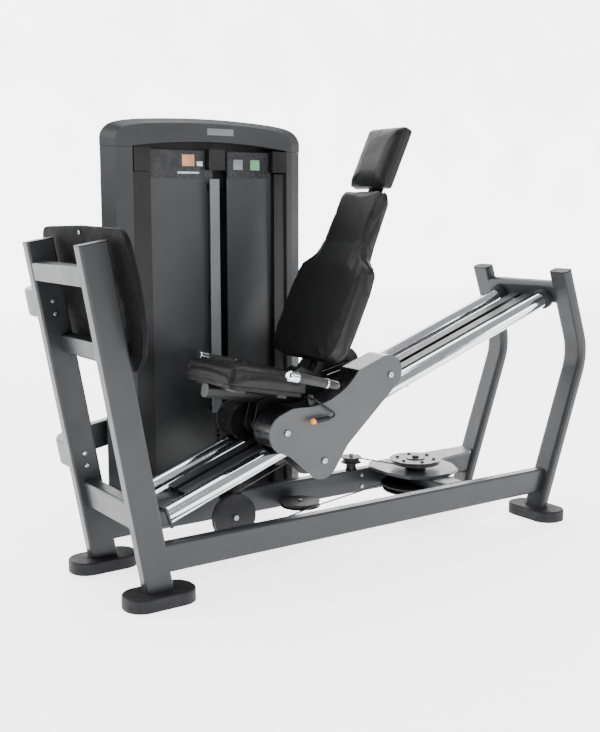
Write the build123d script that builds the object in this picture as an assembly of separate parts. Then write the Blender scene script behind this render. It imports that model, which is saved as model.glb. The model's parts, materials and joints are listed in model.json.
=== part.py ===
from build123d import *
import os
import math

os.makedirs("parts", exist_ok=True)

# ---------------------------------------------------------------- driving dimensions (mm)
# Working frame: +X runs from the footplate to the rear frame, +Y from the user's
# entry side to the weight tower, +Z up. Everything is shifted by OFFSET on export,
# so that the origin is the bottom centre of the whole machine.
TUBE_W, TUBE_H, TUBE_T = 50.0, 100.0, 3.0      # main frame tube
TUBE_R = 9.0
RAIL_OUT = 247.0                               # outer face of posts and base rails
RAIL_IN = RAIL_OUT - TUBE_W
RAIL_Z0, RAIL_Z1 = 106.0, 206.0
FOOT_H = 46.0
POST_X0, POST_LEAN = -912.0, 0.177             # front edge of a post: x = POST_X0 - LEAN*z
POST_TOP = 1198.0
INCL = 0.357                                   # slope of the guide tubes
Z_AX = 551.0                                   # height of the guide tube axis at x = 0
GUIDE_Y, GUIDE_R, GUIDE_T = 135.0, 32.5, 4.0
U_FRONT, U_REAR = -838.0, 1141.5               # ends of the guide tubes along the incline
UP_D, UP_W, UP_Y = 47.0, 100.0, 231.0          # rear upright section and its centre plane
HOUS_OUT, HOUS_IN, PLATE_T = 190.0, 82.0, 8.0  # carriage housing plates
ROLL_V, ROLL_U1, ROLL_U2 = 71.0, -316.0, 196.0 # upper roller axles, incline frame
LOW_U, LOW_V = -200.0, -103.0                  # lower cross tube of the carriage
LROLL_U, LROLL_R = -240.0, 26.0                # lower rollers
SEAT_W, SEAT_L, SEAT_T, SEAT_TILT = 362.0, 340.0, 68.0, 11.0
BACK_TILT = 25.0
HANDLE_Y = 314.0
ARM_X, ARM_Z = -177.0, 688.0                    # axis of the handle arm
DRUM_X, DRUM_Y = 505.0, 50.0                   # vertical shaft of the drum and cam
DRUM_R, CAM_R = 120.0, 107.0
PA_X, PA_Y, PA_R = -58.0, 104.0, 74.0          # horizontal idler
FP_X, FP_Z, FP_R = -434.0, 172.0, 84.0         # vertical front pulley
SP_X, SP_Y, SP_R = 290.0, 222.0, 38.0          # idler on the far rail
CABLE_R = 3.0
Z_LOW, Z_HIGH = 140.0, 250.0                   # heights of the two horizontal cable runs
TOWER_XC = -324.0
TOWER_Y0, TOWER_YC, TOWER_Y1 = 350.0, 395.0, 600.0
TOWER_Z0, CROWN_Z = 156.0, 1545.0
STACK_X, STACK_Y = -261.0, 453.0
PLATE_X, PLATE_Y, PLATE_Z = 250.0, 96.0, 22.0
PLATE_GAP = 0.4
N_REST, N_LIFT = 10, 7
STACK_Z0 = 200.0
TOP_R = 75.0                                   # top pulley
UP_RUN_X = STACK_X + 2 * TOP_R
ROD_TOP = 1372.0

OFFSET = (-34.315, -132.5, 0.0)

ANG = math.atan(INCL)
CA, SA = math.cos(ANG), math.sin(ANG)
PA_ANG = math.atan(POST_LEAN)
PC, PS = math.cos(PA_ANG), math.sin(PA_ANG)

nodes = {}


def add(name, *shapes):
    """Collects solids under one node name."""
    out = nodes.setdefault(name, [])
    for s in shapes:
        if isinstance(s, (list, tuple)):
            for q in s:
                out.extend(q.solids())
        else:
            out.extend(s.solids())


# ---------------------------------------------------------------- helpers
def P(u, v, y):
    """Point given along the incline (u), square to it (v) and across (y)."""
    return Vector(u * CA - v * SA, y, Z_AX + u * SA + v * CA)


def incl(y):
    """Sketch plane in the incline frame; extrusions run towards -Y."""
    return Plane(origin=(0, y, Z_AX), x_dir=(CA, 0, SA), z_dir=(0, -1, 0))


def side(y):
    """Sketch plane X-Z; extrusions run towards -Y."""
    return Plane(origin=(0, y, 0), x_dir=(1, 0, 0), z_dir=(0, -1, 0))


def cyl(p0, p1, r, hole=0.0):
    p0, p1 = Vector(*p0), Vector(*p1)
    d = p1 - p0
    pl = Plane(origin=p0, z_dir=d.normalized())
    sk = Circle(r)
    if hole:
        sk = sk - Circle(hole)
    return extrude(pl * sk, amount=d.length)


def section(w, h, r, wall=0.0):
    sk = RectangleRounded(w, h, r)
    if wall:
        sk = sk - RectangleRounded(w - 2 * wall, h - 2 * wall, max(r - wall, 1.0))
    return sk


def bar(p0, p1, xdir, w, h, r, wall=0.0):
    """Rectangular tube from p0 to p1; w runs along xdir."""
    p0, p1 = Vector(*p0), Vector(*p1)
    d = p1 - p0
    pl = Plane(origin=p0, x_dir=Vector(*xdir), z_dir=d.normalized())
    return extrude(pl * section(w, h, r, wall), amount=d.length)


def box(x0, x1, y0, y1, z0, z1):
    return Pos((x0 + x1) / 2, (y0 + y1) / 2, (z0 + z1) / 2) * Box(x1 - x0, y1 - y0, z1 - z0)


def swept(path, xdir, w, h, r, wall=0.0):
    pl = Plane(origin=path @ 0, x_dir=Vector(*xdir), z_dir=path % 0)
    outer = sweep(pl * RectangleRounded(w, h, r), path=path)
    if not wall:
        return outer
    inner = sweep(pl * RectangleRounded(w - 2 * wall, h - 2 * wall, max(r - wall, 1.0)), path=path)
    return outer - inner


def round_swept(path, r, wall=0.0):
    pl = Plane(origin=path @ 0, z_dir=path % 0)
    outer = sweep(pl * Circle(r), path=path)
    if not wall:
        return outer
    return outer - sweep(pl * Circle(r - wall), path=path)


def bolt(p, d, r=8.0, h=7.0):
    """Button head with a socket, seated at p and pointing along d."""
    p, d = Vector(*p), Vector(*d)
    pl = Plane(origin=p, z_dir=d)
    head = extrude(pl * Circle(r), amount=h)
    head = fillet(head.edges().sort_by(lambda e: (e.center() - p).dot(d))[-1], h * 0.45)
    sock = extrude(Plane(origin=p + d * (h - 3.5), z_dir=d) * RegularPolygon(r * 0.42, 6), amount=6)
    return head - sock


def stadium_foot(x, y, lx, ly, h):
    r = min(lx, ly) / 2 * 0.92
    f = extrude(Pos(x, y, 0) * RectangleRounded(lx, ly, r), amount=h)
    return fillet(f.edges().filter_by(GeomType.LINE, reverse=True).group_by(Axis.Z)[-1], 6)


def post_edge(z):
    return POST_X0 - POST_LEAN * z


# ---------------------------------------------------------------- front posts
pw = TUBE_H / PC                                 # horizontal width of the leaning post
axis_up = Vector(-PS, 0, PC)


def post(y0, y1, wall):
    """Leaning post, flat on its foot, cut square at the top."""
    base = Vector(post_edge(0) + pw / 2, (y0 + y1) / 2, 0)
    top = base + axis_up * (POST_TOP / PC + 9)
    t = bar(base - axis_up * 40, top, (0, 1, 0), TUBE_W, TUBE_H, TUBE_R, wall)
    return t - box(-1300, 0, -400, 400, -200, FOOT_H)


near_post = post(-RAIL_OUT, -RAIL_IN, TUBE_T)
far_post = post(RAIL_IN, RAIL_OUT, TUBE_T)
near_env = post(-RAIL_OUT, -RAIL_IN, 0)
far_env = post(RAIL_IN, RAIL_OUT, 0)
add("front_post_near", near_post)
add("front_post_far", far_post)

top_c = Vector(post_edge(0) + pw / 2, 0, 0) + axis_up * (POST_TOP / PC + 9)
caps = []
for yc in (-(RAIL_OUT + RAIL_IN) / 2, (RAIL_OUT + RAIL_IN) / 2):
    o = Vector(top_c.X, yc, top_c.Z)
    c = bar(o, o + axis_up * 4, (0, 1, 0), TUBE_W, TUBE_H, TUBE_R)
    c = c + bar(o - axis_up * 14, o, (0, 1, 0), TUBE_W - 2 * TUBE_T - 0.4, TUBE_H - 2 * TUBE_T - 0.4, 6.5)
    caps.append(c)

# ---------------------------------------------------------------- rear uprights
LOW_X0, LOW_S = POST_X0 * -1 + 25.0, 0.353       # centre line of the lower leg: x = LOW_X0 + LOW_S*z
U_UP = 1165.0                                    # centre of the upper leg along the incline
V_TOP = 118.0
zb = ((Z_AX + U_UP * SA) * INCL + U_UP * CA - LOW_X0) / (INCL + LOW_S)
xb = LOW_X0 + LOW_S * zb
up_top = P(U_UP, V_TOP, 0)


def upright(yc, wall, w=UP_W, d=UP_D, r=18.0):
    a = (LOW_X0 + LOW_S * 10, yc, 10)
    path = FilletPolyline(a, (xb, yc, zb), (up_top.X, yc, up_top.Z), radius=230)
    s = swept(path, (0, 1, 0), w, d, r, wall)
    return s - box(700, 1200, -500, 500, -100, FOOT_H)


near_up, far_up = upright(-UP_Y, TUBE_T), upright(UP_Y, TUBE_T)
near_up_env, far_up_env = upright(-UP_Y, 0), upright(UP_Y, 0)
add("rear_upright_near", near_up)
add("rear_upright_far", far_up)
vdir = Vector(-SA, 0, CA)
udir = Vector(CA, 0, SA)
for yc in (-UP_Y, UP_Y):
    o = P(U_UP, V_TOP, yc)
    c = bar(o, o + vdir * 5, (0, 1, 0), UP_W, UP_D, 18)
    c = fillet(c.edges().sort_by(lambda e: (e.center() - o).dot(vdir))[-8:], 2.0)
    c = c + bar(o - vdir * 14, o, (0, 1, 0), UP_W - 2 * TUBE_T - 0.4, UP_D - 2 * TUBE_T - 0.4, 15.5)
    caps.append(c)
add("tube_end_caps", caps)

# ---------------------------------------------------------------- base rails and cross tubes


def rail(yc, wall, post_env, up_env):
    r = bar((-880, yc, 156), (990, yc, 156), (0, 1, 0), TUBE_W, TUBE_H, TUBE_R, wall)
    return r - post_env - up_env


yr = (RAIL_OUT + RAIL_IN) / 2
add("base_rail_near", rail(-yr, TUBE_T, near_env, near_up_env))
add("base_rail_far", rail(yr, TUBE_T, far_env, far_up_env))

fx, fz = POST_X0 + pw / 2 - POST_LEAN * 298, 298.0
front_cross = bar((fx, -RAIL_IN, fz), (fx, RAIL_IN, fz), (PC, 0, PS), 50, 100, TUBE_R, TUBE_T)
front_cross_env = bar((fx, -RAIL_IN, fz), (fx, RAIL_IN, fz), (PC, 0, PS), 50, 100, TUBE_R)
add("front_cross_tube", front_cross)

rear_c0, rear_c1 = P(U_UP, 20, -UP_Y), P(U_UP, 20, UP_Y)
rear_cross = bar(rear_c0, rear_c1, tuple(udir), UP_D, 100, 20, TUBE_T) - near_up_env - far_up_env
rear_cross = rear_cross.solids().sort_by(SortBy.VOLUME)[-1]
add("rear_cross_tube", rear_cross)

add("base_cross_tube", bar((DRUM_X, -RAIL_IN, 181), (DRUM_X, RAIL_IN, 181), (1, 0, 0), 100, 50, TUBE_R, TUBE_T)
    - cyl((DRUM_X, DRUM_Y, 100), (DRUM_X, DRUM_Y, 260), 16.0))

# ---------------------------------------------------------------- guide tubes, channel, rack


def guide(y, r0, r1=0.0):
    return cyl(P(U_FRONT, 0, y), P(U_REAR, 0, y), r0, r1)


add("guide_tube_near", guide(-GUIDE_Y, GUIDE_R, GUIDE_R - GUIDE_T))
add("guide_tube_far", guide(GUIDE_Y, GUIDE_R, GUIDE_R - GUIDE_T))
for nm, y in (("near", -GUIDE_Y), ("far", GUIDE_Y)):
    ring = cyl(P(U_REAR - 30, 0, y), P(U_REAR, 0, y), 43, GUIDE_R)
    ring = fillet(ring.edges().filter_by(GeomType.CIRCLE).sort_by(lambda e: e.radius)[-2:], 6)
    add("rail_end_bumpers", ring)

CH_U0, CH_W, CH_V0, CH_V1, CH_T, SLOT = -715.0, 128.0, -50.0, 10.0, 5.0, 28.0


def channel(solid=False):
    pts_out = Pos(0, (CH_V0 + CH_V1) / 2) * RectangleRounded(CH_W, CH_V1 - CH_V0, 6)
    sk = pts_out
    if not solid:
        inner = Pos(0, (CH_V0 + CH_V1) / 2) * RectangleRounded(CH_W - 2 * CH_T, CH_V1 - CH_V0 - 2 * CH_T, 2)
        slot = Pos(0, CH_V1) * Rectangle(SLOT, 3 * CH_T)
        sk = pts_out - inner - slot
    pl = Plane(origin=P(CH_U0, 0, 0), x_dir=(0, 1, 0), z_dir=udir)
    if (pl.y_dir - vdir).length > 0.1:
        pl = Plane(origin=P(CH_U0, 0, 0), x_dir=(0, -1, 0), z_dir=udir)
    return extrude(pl * sk, amount=U_REAR - CH_U0)


chan = channel()
add("centre_channel", chan)

rack_sk = Polyline((-690, -44.8), (60, -44.8), (60, -18), (-690, -18), (-690, -44.8))
rack = extrude(incl(10) * make_face(rack_sk), amount=20)
for k in range(12):
    uu = -640 + 56 * k
    rack = rack - extrude(incl(12) * (Pos(uu, -18) * Rectangle(16, 26)), amount=24)
add("start_position_rack", rack)

# front links between the cross tube and the guide tubes
links = []
for y in (-GUIDE_Y, GUIDE_Y):
    ln = bar((fx, y, 268), (-770, y, 268), (0, 1, 0), 60, 60, 6, 3)
    cut = bar(P(U_FRONT - 8, 0, y), P(U_FRONT + 300, 0, y), (0, 1, 0), 200, 400, 2)
    links.append((ln - front_cross_env - cut).solids().sort_by(SortBy.VOLUME)[-1])
ln = bar((fx, 0, 270), (-640, 0, 270), (0, 1, 0), 80, 60, 6, 3)
ln = ln - front_cross_env - channel(True)
links.append(ln.solids().sort_by(SortBy.VOLUME)[-1])
add("front_link_tubes", links)
sad = []
for y in (-GUIDE_Y, GUIDE_Y):
    a = extrude(Plane(origin=P(U_FRONT - 8, 0, y), x_dir=(0, 1, 0), z_dir=udir) * RectangleRounded(74, 80, 8), amount=8)
    sad.append(a)
add("rail_saddle_plates", sad)

# ---------------------------------------------------------------- feet
feet = []
for s in (-1, 1):
    feet.append(stadium_foot(-866, s * 224, 258, 144, FOOT_H))
    feet.append(stadium_foot(954, s * 231, 144, 258, FOOT_H))
for x in (-690, 45):
    feet.append(stadium_foot(x, 585, 120, 80, FOOT_H))
add("rubber_feet", feet)

# ---------------------------------------------------------------- footplate
def post_face(t, z):
    """x of a plane parallel to the rear faces of the posts, t further back."""
    return post_edge(z) + pw + t / PC


fp_plane = Plane(origin=(post_face(14, 1020), 0, 1020), x_dir=(0, 1, 0), z_dir=(PC, 0, PS))
if fp_plane.y_dir.Z < 0:
    fp_plane = Plane(origin=(post_face(14, 1020), 0, 1020), x_dir=(0, -1, 0), z_dir=(PC, 0, PS))


def fp_outline(g=0.0):
    pts = [(-353 + g, 10), (-341 + g, -90), (-303 + g, -172), (-238, -230 + g), (238, -230 + g), (303 - g, -172),
           (341 - g, -90), (353 - g, 10), (353 - g, 80), (334 - g, 236 - g), (0, 243 - g), (-334 + g, 236 - g),
           (-353 + g, 80)]
    w = Polyline(*pts, close=True)
    f = make_face(w)
    vs = f.vertices()
    f = fillet([v for v in vs if abs(v.X) > 190], 50)
    return f


board = extrude(fp_plane * fp_outline(), amount=14)
mat = extrude(fp_plane.offset(14) * fp_outline(12.0), amount=10)
for k in range(-6, 7):
    g = Plane(origin=fp_plane.origin + fp_plane.z_dir * 21.5 + fp_plane.y_dir * (k * 30.0), x_dir=fp_plane.x_dir,
              z_dir=fp_plane.z_dir)
    mat = mat - extrude(g * Rectangle(560, 5), amount=4)
add("footplate_board", board)
add("footplate_mat", mat)
brk = []
for z, sgn in ((1106, -1), (852, 1)):
    xc = post_edge(z) + pw / 2 + sgn * 26 / PC
    b = bar((xc, -RAIL_IN, z), (xc, RAIL_IN, z), (PC, 0, PS), 44, 64, 6, 3)
    brk.append(b)
add("footplate_cross_tubes", brk)
stand = []
for z in (1106, 852):
    for y in (-120, 120):
        if z == 1106:
            x0 = post_edge(z) + pw / 2 - 26 / PC + 22
        else:
            x0 = post_edge(z) + pw / 2 + 26 / PC + 22
        x1 = post_face(14, z)
        stand.append(bar(Vector(x0, y, z + 0.0), Vector(x0, y, z) + Vector(PC, 0, PS) * ((x1 - x0) * PC), (0, 1, 0), 40, 40, 5))
cross_env = []
for z, sgn in ((1106, -1), (852, 1)):
    xc = post_edge(z) + pw / 2 + sgn * 26 / PC
    cross_env.append(bar((xc, -RAIL_IN, z), (xc, RAIL_IN, z), (PC, 0, PS), 44, 64, 6))
fp_half = extrude(fp_plane * Rectangle(1200, 1200), amount=60)
pads = []
for s in stand:
    for e in cross_env:
        s = s - e
    s = s - fp_half
    pads.append(s.solids().sort_by(SortBy.VOLUME)[-1])
add("footplate_spacers", pads)

# ---------------------------------------------------------------- braces to the tower


def brace(z0, ly, lx, wall):
    o = Vector(post_edge(z0) + pw / 2, RAIL_OUT, z0)
    pl = Plane(origin=o, x_dir=(0, 1, 0), z_dir=(PS, 0, -PC))
    if (pl.y_dir - Vector(PC, 0, PS)).length > 0.1:
        pl = Plane(origin=o, x_dir=(0, 1, 0), z_dir=(-PS, 0, PC))
    pl_y = pl.y_dir
    sgn = 1 if (pl_y - Vector(PC, 0, PS)).length < 0.1 else -1
    path = pl * FilletPolyline((0, 0), (ly, 0), (ly, sgn * lx), radius=78)
    return swept(path, (-PS, 0, PC), 100, 50, TUBE_R, wall)


UPR_X0, UPR_X1, UPR_Y0, UPR_Y1 = -650.0, -600.0, 428.0, 478.0
braces = {}
for nm, z0 in (("lower_brace", 422.0), ("upper_brace", 984.0)):
    ly = STACK_Y - RAIL_OUT
    x0 = post_edge(z0) + pw / 2
    lx = (UPR_X0 - x0) / PC + 20
    upr_env = box(UPR_X0, UPR_X1 + 60, UPR_Y0 - 60, UPR_Y1 + 60, 100, 1700)
    b = brace(z0, ly, lx, TUBE_T) - upr_env
    env = brace(z0, ly, lx, 0)
    add(nm, b.solids().sort_by(SortBy.VOLUME)[-1])
    braces[nm] = (env, z0)

# ---------------------------------------------------------------- weight tower
# base
add("tower_base_frame",
    bar((-740, 585, 131), (95, 585, 131), (0, 1, 0), 50, 50, 6, 3),
    *[bar((x, RAIL_OUT, 131), (x, 560, 131), (1, 0, 0), 60, 50, 6, 3) for x in (-625, 0)],
    *[bar((x, 585, FOOT_H), (x, 585, 106), (1, 0, 0), 60, 50, 6, 3) for x in (-690, 45)])
# inner frame
add("tower_upright_left", bar(((UPR_X0 + UPR_X1) / 2, STACK_Y, 156), ((UPR_X0 + UPR_X1) / 2, STACK_Y, 1540), (1, 0, 0), 50, 50, 6, 3))
RUP_Y = (UPR_Y0 + UPR_Y0 + 36) / 2
add("tower_upright_right", bar((5, RUP_Y, 156), (5, RUP_Y, 1540), (1, 0, 0), 50, 36, 6, 3))
# the top beam is a pair of side bars, with the pulley between them
tb = [box(UPR_X0, 0, UPR_Y0 - 6, UPR_Y0, 1540, 1592), box(UPR_X0, 0, UPR_Y1, UPR_Y1 + 6, 1540, 1592)]
add("tower_top_beam", *tb, box(UPR_X0, UPR_X1, UPR_Y0, UPR_Y1, 1540, 1592), box(-20, 0, UPR_Y0, UPR_Y1, 1540, 1592))

XL, XR = TOWER_XC - 447.0, TOWER_XC + 447.0
HALF_B = 430.0                                 # half width where the back shell starts
BL, BR = TOWER_XC - HALF_B, TOWER_XC + HALF_B
col_l = Polyline((XL + 53, TOWER_Y0), (-646, TOWER_Y0), (-646, TOWER_YC), (BL, TOWER_YC), (XL, TOWER_Y0 + 22), close=True)
col_r = Polyline((44, TOWER_Y0), (XR - 53, TOWER_Y0), (XR, TOWER_Y0 + 22), (BR, TOWER_YC), (44, TOWER_YC), close=True)


def column(w, rs):
    f = make_face(w)
    f = fillet([v for v in f.vertices()], rs)
    f = f - offset(f, -2.5, kind=Kind.INTERSECTION)
    return extrude(Pos(0, 0, TOWER_Z0) * f, amount=CROWN_Z - TOWER_Z0 - 1.0)


add("tower_column_left", column(col_l, 4))
add("tower_column_right", column(col_r, 4))

crown_pts = [(XL, CROWN_Z), (XL, 1578), (XL + 12, 1606), (XL + 36, 1626), (XL + 80, 1640), (XL + 200, 1653),
             (TOWER_XC, 1661), (XR - 200, 1653), (XR - 80, 1640), (XR - 36, 1626), (XR - 12, 1606), (XR, 1578),
             (XR, CROWN_Z)]


def crown_face(half, top_k, y):
    """Outline of the crown: half is its half width, top_k scales its height above the columns."""
    k = half / 447.0
    pts = [(TOWER_XC + (x - TOWER_XC) * k, CROWN_Z + (z - CROWN_Z) * top_k) for x, z in crown_pts[1:-1]]
    top = Spline(*pts)
    a, b = top @ 0, top @ 1
    l1 = Line((a.X, CROWN_Z), (a.X, a.Y))
    l2 = Line((b.X, b.Y), (b.X, CROWN_Z))
    s1 = Line((b.X, CROWN_Z), (44, CROWN_Z))
    s2 = Line((44, CROWN_Z), (44, CROWN_Z + 4))
    arc = ThreePointArc((44, CROWN_Z + 4), (TOWER_XC + 25, 1573), (-646, CROWN_Z + 4))
    s3 = Line((-646, CROWN_Z + 4), (-646, CROWN_Z))
    s4 = Line((-646, CROWN_Z), (a.X, CROWN_Z))
    return side(y) * make_face([l1, top, l2, s1, s2, arc, s3, s4])


crown = loft([crown_face(394, 0.84, TOWER_Y0), crown_face(447, 1.0, TOWER_Y0 + 22)], ruled=True) + loft(
    [crown_face(447, 1.0, TOWER_Y0 + 22), crown_face(HALF_B, 1.0, TOWER_YC)], ruled=True)
pocket = extrude(side(TOWER_YC + 1) * (Pos(TOWER_XC, 1604) * RectangleRounded(760, 34, 10)), amount=24)
crown = crown - pocket
add("tower_crown", crown)

# curved back shell and its lid
SAG = TOWER_Y1 - TOWER_YC


def d_face(g=0.0):
    arc = ThreePointArc((BL + g, TOWER_YC), (TOWER_XC, TOWER_Y1 - g), (BR - g, TOWER_YC))
    return make_face([arc, Line((BR - g, TOWER_YC), (BL + g, TOWER_YC))])


shell = extrude(Pos(0, 0, TOWER_Z0) * d_face(0), amount=1596 - TOWER_Z0) - extrude(
    Pos(0, 0, TOWER_Z0 - 1) * make_face([ThreePointArc((BL + 4, TOWER_YC - 1), (TOWER_XC, TOWER_Y1 - 3), (BR - 4, TOWER_YC - 1)),
                                         Line((BR - 4, TOWER_YC - 1), (BL + 4, TOWER_YC - 1))]), amount=1596 - TOWER_Z0 + 2)
for nm in braces:
    env, z0 = braces[nm]
    ly = STACK_Y - RAIL_OUT
    x0 = post_edge(z0) + pw / 2
    big = bar((x0 + 100 * PC, STACK_Y, z0 + 100 * PS), (UPR_X0 * 1.0, STACK_Y, z0 + (UPR_X0 - x0) * PS / PC), (0, 1, 0), 52, 102, TUBE_R + 1)
    shell = shell - big
add("tower_back_shell", shell.solids().sort_by(SortBy.VOLUME)[-1])
lid = extrude(Pos(0, 0, 1596) * d_face(0), amount=3)
add("tower_lid", lid)
add("tower_floor_pan", extrude(Pos(0, 0, TOWER_Z0) * make_face([ThreePointArc((BL + 12, TOWER_YC + 2), (TOWER_XC, TOWER_Y1 - 8), (BR - 12, TOWER_YC + 2)), Line((BR - 12, TOWER_YC + 2), (BL + 12, TOWER_YC + 2))]), amount=3)
    - box(UPR_X0 - 0.5, UPR_X1 + 0.5, UPR_Y0 - 0.5, UPR_Y1 + 0.5, 150, 170) - box(-20.5, 60, UPR_Y0 - 0.5, 500, 150, 170))

# front screens, centre strip, posts and blocks between the columns
add("side_post_left", box(-645.5, -569, 362, 392, TOWER_Z0, 1455))
add("side_post_right", box(-9, 43.5, 362, 392, TOWER_Z0, 1455))
add("screen_left", box(-568, -285, 386, 390, TOWER_Z0 + 2, 1540))
add("screen_right", box(-220, -10, 386, 390, TOWER_Z0 + 2, 1540))
strip_f = box(-316, -273, 352, 357.5, 500, 1431)
add("centre_strip", fillet(strip_f.edges().filter_by(Axis.Z).group_by(Axis.Y)[0], 2))
for z in (520, 960, 1400):
    add("strip_spacers", box(-312, -296, 357.5, 386, z - 12, z + 12))
blocks = []
for x0, x1, zl in ((-642, -573, 1457), (-319, -246, 1466), (-22, 43, 1461)):
    b = box(x0, x1, 352, 384, zl, 1545)
    blocks.append(b)
add("crown_blocks", blocks)
add("placard_left", box(-560, -322, 381, 385.9, 1434, 1540))
add("placard_right", box(-219, -26, 381, 385.9, 1438, 1540))

# weight stack on its rods
rods = []
for dx in (-92, 92):
    rods.append(cyl((STACK_X + dx, STACK_Y, TOWER_Z0 + 3), (STACK_X + dx, STACK_Y, ROD_TOP), 12.5))
add("stack_guide_rods", rods)
rod_top = box(UPR_X1, -20, UPR_Y0, UPR_Y1, ROD_TOP, ROD_TOP + 12)
for x in (STACK_X, UP_RUN_X):
    rod_top = rod_top - cyl((x, STACK_Y, ROD_TOP - 1), (x, STACK_Y, ROD_TOP + 13), 9)
add("stack_rod_top_plate", rod_top)
add("stack_guide_feet", [cyl((STACK_X + dx, STACK_Y, TOWER_Z0 + 3.0), (STACK_X + dx, STACK_Y, STACK_Z0 - 20), 24, 12.5) for dx in (-92, 92)])
add("stack_bumpers", [cyl((STACK_X + dx, STACK_Y, STACK_Z0 - 20), (STACK_X + dx, STACK_Y, STACK_Z0), 26, 12.55) for dx in (-92, 92)])


def wplate(z, h=PLATE_Z):
    w = extrude(Pos(STACK_X, STACK_Y, z) * RectangleRounded(PLATE_X, PLATE_Y, 8), amount=h)
    for dx in (-92, 92):
        w = w - cyl((STACK_X + dx, STACK_Y, z - 1), (STACK_X + dx, STACK_Y, z + h + 1), 13.5)
    w = w - cyl((STACK_X, STACK_Y, z - 1), (STACK_X, STACK_Y, z + h + 1), 13.5)
    w = w - box(STACK_X - 6, STACK_X + 6, STACK_Y - 60, STACK_Y - 10, z + h / 2 - 6, z + h / 2 + 6)
    return w


rest_pl = [wplate(STACK_Z0 + i * (PLATE_Z + PLATE_GAP)) for i in range(N_REST)]
z_l = STACK_Z0 + N_REST * (PLATE_Z + PLATE_GAP)
lift_pl = [wplate(z_l + i * (PLATE_Z + PLATE_GAP)) for i in range(N_LIFT)]
add("weight_plates_resting", rest_pl)
add("weight_plates_lifted", lift_pl)
z_head = z_l + N_LIFT * (PLATE_Z + PLATE_GAP)
head = extrude(Pos(STACK_X, STACK_Y, z_head) * RectangleRounded(PLATE_X, PLATE_Y, 8), amount=36)
for dx in (-92, 92):
    head = head - cyl((STACK_X + dx, STACK_Y, z_head - 1), (STACK_X + dx, STACK_Y, z_head + 37), 12.6)
SEL_BOT = z_l + 1.0
head = head - cyl((STACK_X, STACK_Y, z_head - 1), (STACK_X, STACK_Y, z_head + 37), 12.0)
add("stack_head_plate", head)
sel = cyl((STACK_X, STACK_Y, SEL_BOT), (STACK_X, STACK_Y, z_head + 60), 12.0)
PIN_Z = z_l + PLATE_Z / 2
for i in range(N_LIFT):
    zz = z_l + i * (PLATE_Z + PLATE_GAP) + PLATE_Z / 2
    sel = sel - cyl((STACK_X, STACK_Y - 14, zz), (STACK_X, STACK_Y + 14, zz), 5.06)
add("selector_rod", sel)
pin = cyl((STACK_X, STACK_Y + 12, PIN_Z), (STACK_X, STACK_Y - 52, PIN_Z), 5.0) + cyl((STACK_X, STACK_Y - 49.0, PIN_Z), (STACK_X, STACK_Y - 60, PIN_Z), 8)
add("selector_pin", pin)

# tower pulleys
TP_R, TP_W = 40.0, 20.0


def wheel(c, axis, r, w, bore, rim=6.0, hub_r=0.0):
    """Grooved cable pulley: r is the radius of the cable's centre line."""
    c, axis = Vector(*c), Vector(*axis)
    ro = r + rim
    prof = make_face(Polyline((bore, -w / 2), (ro, -w / 2), (ro, -w / 2 + 3), (r - CABLE_R, -CABLE_R - 1), (r - CABLE_R, CABLE_R + 1),
                              (ro, w / 2 - 3), (ro, w / 2), (bore, w / 2), close=True))
    g = revolve(Plane.XZ * prof, Axis.Z)
    pl = Plane(origin=c, z_dir=axis)
    return pl.location * g


def cheeks(c, axis, w, p_to, width, t=5.0):
    """Pair of side plates from an axle to a mount point."""
    c, axis, p_to = Vector(*c), Vector(*axis), Vector(*p_to)
    d = (p_to - c)
    d = d - axis * d.dot(axis)
    out = []
    for s in (-1, 1):
        o = c + axis * (s * (w / 2 + 1.5 + (0 if s > 0 else t)))
        if s < 0:
            o = c - axis * (w / 2 + 1.5 + t)
        pl = Plane(origin=o, x_dir=d.normalized(), z_dir=axis)
        sk = SlotCenterToCenter(d.length, width)
        sk = Pos(d.length / 2, 0) * sk
        out.append(extrude(pl * sk, amount=t))
    return out


AX_R = 8.0
TOP_Z = 1478.0
E1 = (STACK_X + TOP_R, STACK_Y, TOP_Z)
add("top_pulley", wheel(E1, (0, 1, 0), TOP_R, TP_W, AX_R + 0.05))
axles = [cyl((E1[0], STACK_Y - 25, E1[2]), (E1[0], STACK_Y + 25, E1[2]), AX_R)]
for s_ in (-1, 1):
    y0 = STACK_Y + s_ * 16 - 4
    cheek = box(E1[0] - 28, E1[0] + 28, y0, y0 + 8, TOP_Z - 24, 1588) - cyl((E1[0], 400, TOP_Z), (E1[0], 530, TOP_Z), AX_R)
    add("top_pulley_bracket", cheek)
    ya, yb = (UPR_Y0, y0) if s_ < 0 else (y0 + 8, UPR_Y1)
    add("top_pulley_bracket", box(E1[0] - 28, E1[0] + 28, ya, yb, 1576, 1588))

# turning pulley at the foot of the tower: its plane points at the idler on the far rail
th = math.radians(26)
for _ in range(20):
    pdx, pdy = UP_RUN_X + TP_R * math.cos(th), STACK_Y - TP_R * math.sin(th)
    dx, dy = SP_X - pdx, SP_Y - pdy
    d = math.hypot(dx, dy)
    th = -(math.atan2(dy, dx) + math.asin(SP_R / d))
TD = (pdx, pdy, Z_HIGH + TP_R)
TD_AX = (math.sin(th), math.cos(th), 0)
add("tower_foot_pulley", wheel(TD, TD_AX, TP_R, TP_W, AX_R + 0.05))
ax = Vector(*TD_AX)
c0 = Vector(*TD)
axles.append(cyl(c0 - ax * 27, c0 + ax * 27, AX_R))
TDF = Vector(math.cos(th), -math.sin(th), 0)
ch = []
for s in (-1, 1):
    o = c0 + ax * (s * 19.0)
    pl = Plane(origin=o - ax * 3, x_dir=TDF, z_dir=ax)
    upv = 1 if pl.y_dir.Z > 0 else -1
    dn = TD[2] - TOWER_Z0 - 7
    sk = make_face(Polyline((-16, upv * 16), (16, upv * 16), (26, -upv * dn), (-26, -upv * dn), close=True))
    ch.append(extrude(pl * sk, amount=6) - cyl(c0 - ax * 60, c0 + ax * 60, AX_R))
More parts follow.
